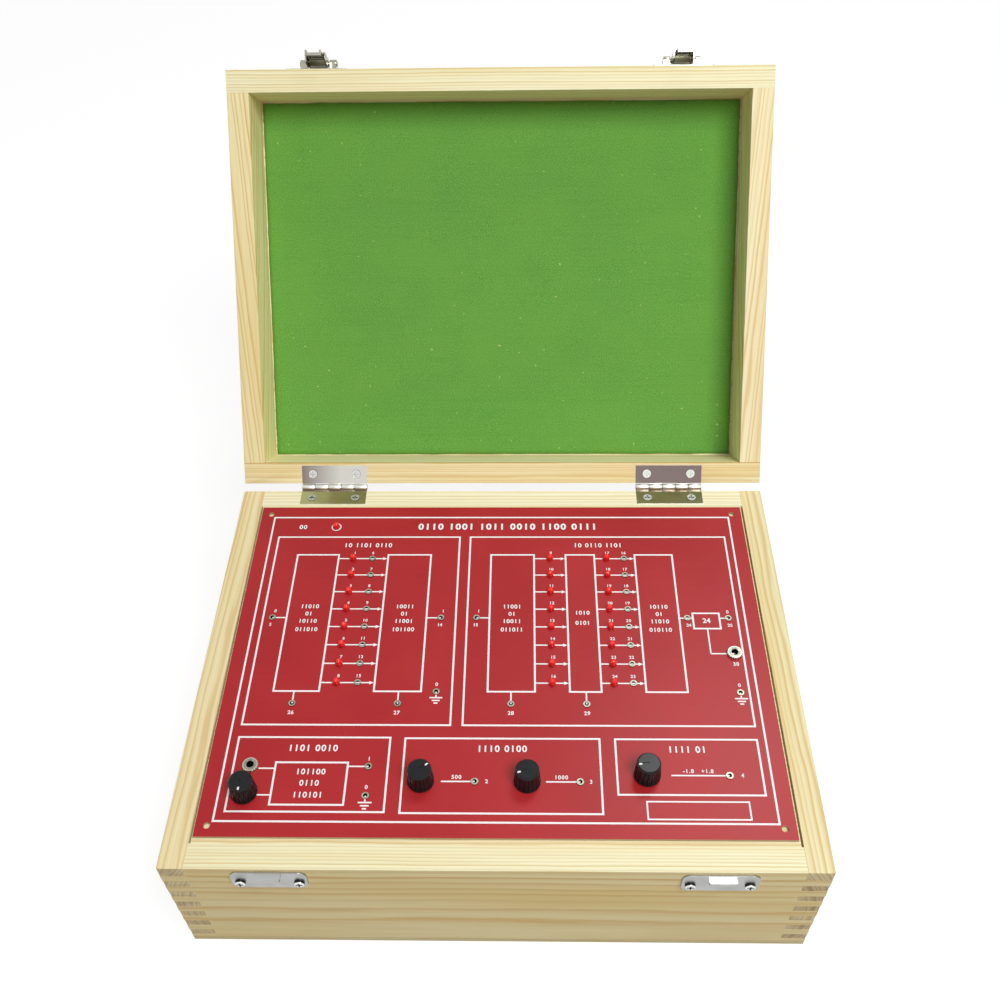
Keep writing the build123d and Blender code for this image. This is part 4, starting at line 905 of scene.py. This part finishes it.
# Left, right, front and back edges of the boxes, in millimetres from the panel's middle
BORDER = (-128.41, 128.59, -93.0, 92.72)
CODE_SECTION = (-123.89, -22.36, -42.48, 78.02)
DECODE_SECTION = (-16.4, 124.66, -42.48, 78.02)
MIC_SECTION = (-123.89, -50.77, -88.18, -49.43)
TONE_SECTION = (-43.52, 49.46, -88.57, -49.73)
DC_SECTION = (56.91, 124.46, -78.84, -49.83)
MARK_PLACE = (69.73, 116.37, -90.96, -82.22)
FILTER = (101.47, 115.23, 15.43, 25.27)
AMPLIFIER = (-103.97, -69.75, -84.7, -62.94)

# Left and right edges of the tall blocks, and the front and back edges they share
BLOCK_ROWS = (-23.31, 65.1)
CONVERTER = (-111.47, -88.62)
SERIALISER = (-61.3, -37.76)
PARALLELISER = (-4.68, 18.87)
LATCH = (36.15, 51.85)
OUTPUT_CONVERTER = (73.9, 94.36)
LAMP_COLUMNS = (-80.47, 27.51, 58.3)


def middle(block):
    """Halfway between a block's left and right edges."""
    return (block[0] + block[1]) / 2


def draw_sections():
    for section in (BORDER, CODE_SECTION, DECODE_SECTION, MIC_SECTION, TONE_SECTION, DC_SECTION):
        outline(*section)
    outline(*MARK_PLACE, THIN_LINE_WIDTH)
    for left, right in (CONVERTER, SERIALISER, PARALLELISER, LATCH, OUTPUT_CONVERTER):
        outline(left, right, *BLOCK_ROWS)
    outline(*FILTER)
    outline(*AMPLIFIER)


def draw_signals():
    for y in PROBE_ROWS:
        for source, target in (
            (CONVERTER, SERIALISER),
            (PARALLELISER, LATCH),
            (LATCH, OUTPUT_CONVERTER),
        ):
            arrow(source[1], target[0] - ARROW_GAP, y)
    stroke(SIGNAL_IN, (CONVERTER[0], SIGNAL_IN[1]))
    stroke((SERIALISER[1], CODE_OUT[1]), CODE_OUT)
    stroke(CODE_IN, (PARALLELISER[0], CODE_IN[1]))
    stroke((OUTPUT_CONVERTER[1], CONVERTER_OUT[1]), (FILTER[0], CONVERTER_OUT[1]))
    stroke((FILTER[1], FILTER_OUT[1]), FILTER_OUT)
    for x, y in (START, SHIFT_CLOCK, SECOND_CLOCK, LATCH_CLOCK):
        stroke((x, BLOCK_ROWS[0]), (x, y))
    speaker = from_middle(mounts["speaker_jack"]["pos_m"])
    turn_x = middle(FILTER)
    stroke((turn_x, FILTER[2]), (turn_x, speaker[1]))
    stroke((turn_x, speaker[1]), speaker)
    for x, y in (CODE_GROUND, FILTER_GROUND, MIC_GROUND):
        earth(x, y)
    microphone = from_middle(mounts["microphone_jack"]["pos_m"])
    gain = from_middle(joints["mic_gain_turn"]["pos_m"])
    for (x, y), (start, drop) in ((microphone, MIC_LINE), (gain, GAIN_LINE)):
        stroke((x + start, y - drop), (AMPLIFIER[0], y - drop))
    stroke((AMPLIFIER[1], MIC_OUT[1]), MIC_OUT)
    for (x, y), length in zip((LOW_TONE_OUT, HIGH_TONE_OUT, DC_OUT), SOURCE_LINES):
        stroke((x - length, y), (x, y))
    ring(*POWER_RING)


def draw_numbers():
    """Plain numbers where such a panel has its captions."""
    number("0110 1001 1011 0010 1100 0111", 4.06, TITLE_ROW, TITLE_HEIGHT, 1.25, 0.05)
    for section, word in ((CODE_SECTION, "10 1101 0110"), (DECODE_SECTION, "10 0110 1101")):
        number(word, middle(section), UPPER_CAPTION_ROW, CAPTION_HEIGHT, 1.2)
    for section, word in (
        (MIC_SECTION, "1101 0010"),
        (TONE_SECTION, "1110 0100"),
        (DC_SECTION, "1111 01"),
    ):
        number(word, middle(section), LOWER_CAPTION_ROW, LOWER_CAPTION_HEIGHT, 1.2)
    for block, words in (
        (CONVERTER, ("11010", "01", "10110", "011010")),
        (SERIALISER, ("10011", "01", "11001", "101100")),
        (PARALLELISER, ("11001", "01", "10011", "011011")),
        (OUTPUT_CONVERTER, ("10110", "01", "11010", "010110")),
    ):
        for word, y in zip(words, BLOCK_WORD_ROWS):
            number(word, middle(block), y, BLOCK_WORD_HEIGHT, 1.15)
    for word, y in zip(("1010", "0101"), LATCH_WORD_ROWS):
        number(word, middle(LATCH), y, BLOCK_WORD_HEIGHT, 1.15)
    number("24", middle(FILTER), (FILTER[2] + FILTER[3]) / 2, FILTER_WORD_HEIGHT)
    for word, y in zip(("101100", "0110", "110101"), AMPLIFIER_WORD_ROWS):
        number(word, middle(AMPLIFIER), y, CAPTION_HEIGHT, 1.2)
    columns = [column + LAMP_LABEL_SHIFT for column in LAMP_COLUMNS]
    columns += [ENCODER_PROBE_X, OUTPUT_PROBE_X]
    for column, first in zip(columns, (1, 9, 17, 6, 16)):
        for n, y in enumerate(reversed(PROBE_ROWS)):
            number(str(first + n), column, y + LABEL_RISE, COLUMN_LABEL_HEIGHT, 1.1)
    for (x, y), above, below in (
        (SIGNAL_IN, "0", "5"),
        (CODE_OUT, "1", "14"),
        (CODE_IN, "1", "15"),
    ):
        number(above, x + 1.0, y + SIDE_LABEL_RISE, SIDE_LABEL_HEIGHT)
        number(below, x - 0.4, y - SIDE_LABEL_DROP, SIDE_LABEL_HEIGHT)
    for (x, y), label in ((CONVERTER_OUT, "24"), (FILTER_OUT, "25")):
        number(label, x + 0.4, y - SIDE_LABEL_DROP, SIDE_LABEL_HEIGHT)
    number("0", FILTER_OUT[0], FILTER_OUT[1] + LABEL_RISE, SIDE_LABEL_HEIGHT)
    for n, (x, y) in enumerate((START, SHIFT_CLOCK, SECOND_CLOCK, LATCH_CLOCK)):
        number(str(26 + n), x, y - CLOCK_LABEL_DROP, CLOCK_LABEL_HEIGHT, 1.1)
    for x, y in (CODE_GROUND, FILTER_GROUND, MIC_GROUND):
        number("0", x, y + SIDE_LABEL_RISE, SOCKET_LABEL_HEIGHT)
    speaker = from_middle(mounts["speaker_jack"]["pos_m"])
    number("30", speaker[0], speaker[1] - JACK_LABEL_DROP, CLOCK_LABEL_HEIGHT, 1.1)
    number("1", MIC_OUT[0], MIC_OUT[1] + LABEL_RISE, SOCKET_LABEL_HEIGHT)
    for (x, y), label, aside, level, back in (
        (LOW_TONE_OUT, "2", 5.6, "500", 8.6),
        (HIGH_TONE_OUT, "3", 5.0, "1000", 8.8),
        (DC_OUT, "4", 6.0, "-1.8   +1.8", 14.4),
    ):
        number(label, x + aside, y, SOCKET_LABEL_HEIGHT)
        number(level, x - back, y + LEVEL_RISE, SOCKET_LABEL_HEIGHT, 1.2)
    number("00", *POWER_WORD_PLACE, CAPTION_HEIGHT, 1.2)


draw_sections()
draw_signals()
draw_numbers()
print_mesh = bpy.data.meshes.new("panel_print")
ink_mesh.to_mesh(print_mesh)
ink_mesh.free()
piece("panel_print", print_mesh, "base", ink)


# White marks in the knobs' grooves
def knob_mark(name):
    joint = joints[name + "_turn"]
    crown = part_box(name + "_knob")[1].z
    made = bmesh.new()
    bmesh.ops.create_cube(made, size=1)
    size = Vector((MARK_OUTER - MARK_INNER, MARK_WIDTH, MARK_DEPTH))
    bmesh.ops.scale(made, vec=size, verts=made.verts)
    bmesh.ops.bevel(made, geom=made.edges[:], offset=MARK_ROUNDING, segments=3, affect="EDGES")
    centre = Vector(((MARK_INNER + MARK_OUTER) / 2, 0, 0))
    bmesh.ops.translate(made, vec=centre, verts=made.verts)
    turn = Matrix.Rotation(radians(KNOB_ANGLES[name]), 4, "Z")
    at = Matrix.Translation(Vector((joint["pos_m"][0], joint["pos_m"][1], crown - MARK_DEPTH / 2)))
    bmesh.ops.transform(made, matrix=at @ turn, verts=made.verts)
    mesh = bpy.data.meshes.new(name + "_mark")
    made.to_mesh(mesh)
    made.free()
    piece(name + "_mark", mesh, name, mark_white)


for name in KNOB_ANGLES:
    knob_mark(name)


# The felt: a sheet glued into the lid, faintly uneven, with a soft edge
def felt_sheet():
    turn_back = Matrix.Translation(HINGE_PIN) @ Matrix.Rotation(-LID_ANGLE, 4, "X")
    turn_back = turn_back @ Matrix.Translation(-HINGE_PIN)
    closed = nodes["felt_lining"].data.copy()
    closed.transform(turn_back)
    corners = [vertex.co for vertex in closed.vertices]
    low = Vector([min(corner[i] for corner in corners) for i in range(3)])
    high = Vector([max(corner[i] for corner in corners) for i in range(3)])
    bpy.data.meshes.remove(closed)
    made = bmesh.new()
    across, deep = FELT_STEPS
    rows = []
    for j in range(deep + 1):
        row = []
        for i in range(across + 1):
            u = i / across
            v = j / deep
            x = low.x + (high.x - low.x) * u
            y = low.y + (high.y - low.y) * v
            place = Vector((x, y, 0)) / FELT_WAVE_LENGTH
            wave = noise.noise(place) * FELT_WAVE + noise.noise(place * 4.1) * FELT_WAVE * 0.4
            edge = min(u * (high.x - low.x), (1 - u) * (high.x - low.x))
            edge = min(edge, v * (high.y - low.y), (1 - v) * (high.y - low.y))
            roll = max(0.0, 1 - edge / FELT_ROLL_WIDTH) ** 2
            z = low.z + FELT_WAVE * 1.4 + wave + roll * FELT_ROLL
            inward = 0.5 + 0.5 * noise.noise(Vector((x, y, 3.3)) / FELT_CUT_LENGTH)
            if i in (0, across):
                x += (0.5 - u) * 2 * FELT_CUT * inward
            if j in (0, deep):
                y += (0.5 - v) * 2 * FELT_CUT * inward
            row.append(made.verts.new((x, y, z)))
        rows.append(row)
    for j in range(deep):
        for i in range(across):
            made.faces.new((rows[j][i], rows[j + 1][i], rows[j + 1][i + 1], rows[j][i + 1]))
    rim = [edge for edge in made.edges if edge.is_boundary]
    grown = bmesh.ops.extrude_edge_only(made, edges=rim)["geom"]
    for vertex in (item for item in grown if isinstance(item, bmesh.types.BMVert)):
        vertex.co.z = high.z
    bmesh.ops.recalc_face_normals(made, faces=made.faces[:])
    mesh = bpy.data.meshes.new("felt_sheet")
    made.to_mesh(mesh)
    made.free()
    opened = Matrix.Translation(HINGE_PIN) @ Matrix.Rotation(LID_ANGLE, 4, "X")
    mesh.transform(opened @ Matrix.Translation(-HINGE_PIN))
    mesh.shade_smooth()
    sheet = piece("felt_sheet", mesh, "lid", MATERIALS["green_felt"])
    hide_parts("felt_lining")


felt_sheet()


# Studio
def floor():
    mesh = bpy.data.meshes.new("floor")
    corners = [(x * FLOOR_REACH, y * FLOOR_REACH, 0) for x, y in ((-1, -1), (1, -1), (1, 1), (-1, 1))]
    mesh.from_pydata(corners, [], [(0, 1, 2, 3)])
    made = bpy.data.objects.new("floor", mesh)
    bpy.context.scene.collection.objects.link(made)
    shader = Shader("floor_white")
    seen = shader.seen()
    dim = (FLOOR_BOUNCE, FLOOR_BOUNCE, FLOOR_BOUNCE)
    shader.set(
        Base_Color=shader.mix(seen, dim, (0.93, 0.93, 0.93)),
        Roughness=0.9,
        Specular_IOR_Level=0.1,
    )
    glow = shader.add("ShaderNodeEmission")
    glow.inputs["Color"].default_value = (1, 1, 1, 1)
    glow.inputs["Strength"].default_value = FLOOR_GLOW_LEVEL
    lit = shader.surface.outputs["BSDF"]
    target = shader.output.inputs["Surface"]
    shader.blend(shader.times(seen, FLOOR_GLOW), lit, glow.outputs["Emission"], target)
    mesh.materials.append(shader.material)


def area_lamp(name, place, power, size, colour=(1, 1, 1)):
    data = bpy.data.lights.new(name, "AREA")
    data.energy = power
    data.color = colour
    data.shape = "DISK"
    data.size = size
    made = bpy.data.objects.new(name, data)
    made.location = place
    made.rotation_euler = (LAMP_TARGET - place).to_track_quat("-Z", "Y").to_euler()
    bpy.context.scene.collection.objects.link(made)


def world():
    """White to the eye and in reflections, and a weak fill for the light that spreads."""
    made = bpy.data.worlds.new("studio")
    sky = Tree(made)
    output = sky.add("ShaderNodeOutputWorld")
    backgrounds = []
    for strength in (WORLD_FILL, 1.0):
        background = sky.add("ShaderNodeBackground")
        background.inputs["Color"].default_value = (1, 1, 1, 1)
        background.inputs["Strength"].default_value = strength
        backgrounds.append(background.outputs["Background"])
    sky.blend(sky.seen(), *backgrounds, output.inputs["Surface"])
    bpy.context.scene.world = made


def camera():
    forward = Vector(
        (
            sin(CAMERA_YAW) * cos(CAMERA_PITCH),
            cos(CAMERA_YAW) * cos(CAMERA_PITCH),
            -sin(CAMERA_PITCH),
        )
    )
    right = Vector((cos(CAMERA_YAW), -sin(CAMERA_YAW), 0))
    up = right.cross(forward)
    rolled_right = cos(CAMERA_ROLL) * right + sin(CAMERA_ROLL) * up
    rolled_up = -sin(CAMERA_ROLL) * right + cos(CAMERA_ROLL) * up
    data = bpy.data.cameras.new("camera")
    data.lens = CAMERA_LENS
    data.sensor_width = 36
    data.clip_start = 0.01
    made = bpy.data.objects.new("camera", data)
    basis = Matrix((rolled_right, rolled_up, -forward)).transposed().to_4x4()
    made.matrix_world = Matrix.Translation(CAMERA_PLACE) @ basis
    bpy.context.scene.collection.objects.link(made)
    bpy.context.scene.camera = made


floor()
area_lamp("key", KEY_PLACE, KEY_POWER, KEY_SIZE)
area_lamp("sheen", SHEEN_PLACE, SHEEN_POWER, SHEEN_SIZE)
area_lamp("front", FRONT_PLACE, FRONT_POWER, FRONT_SIZE, FRONT_COLOUR)
world()
camera()
bpy.context.scene.view_settings.view_transform = "Standard"
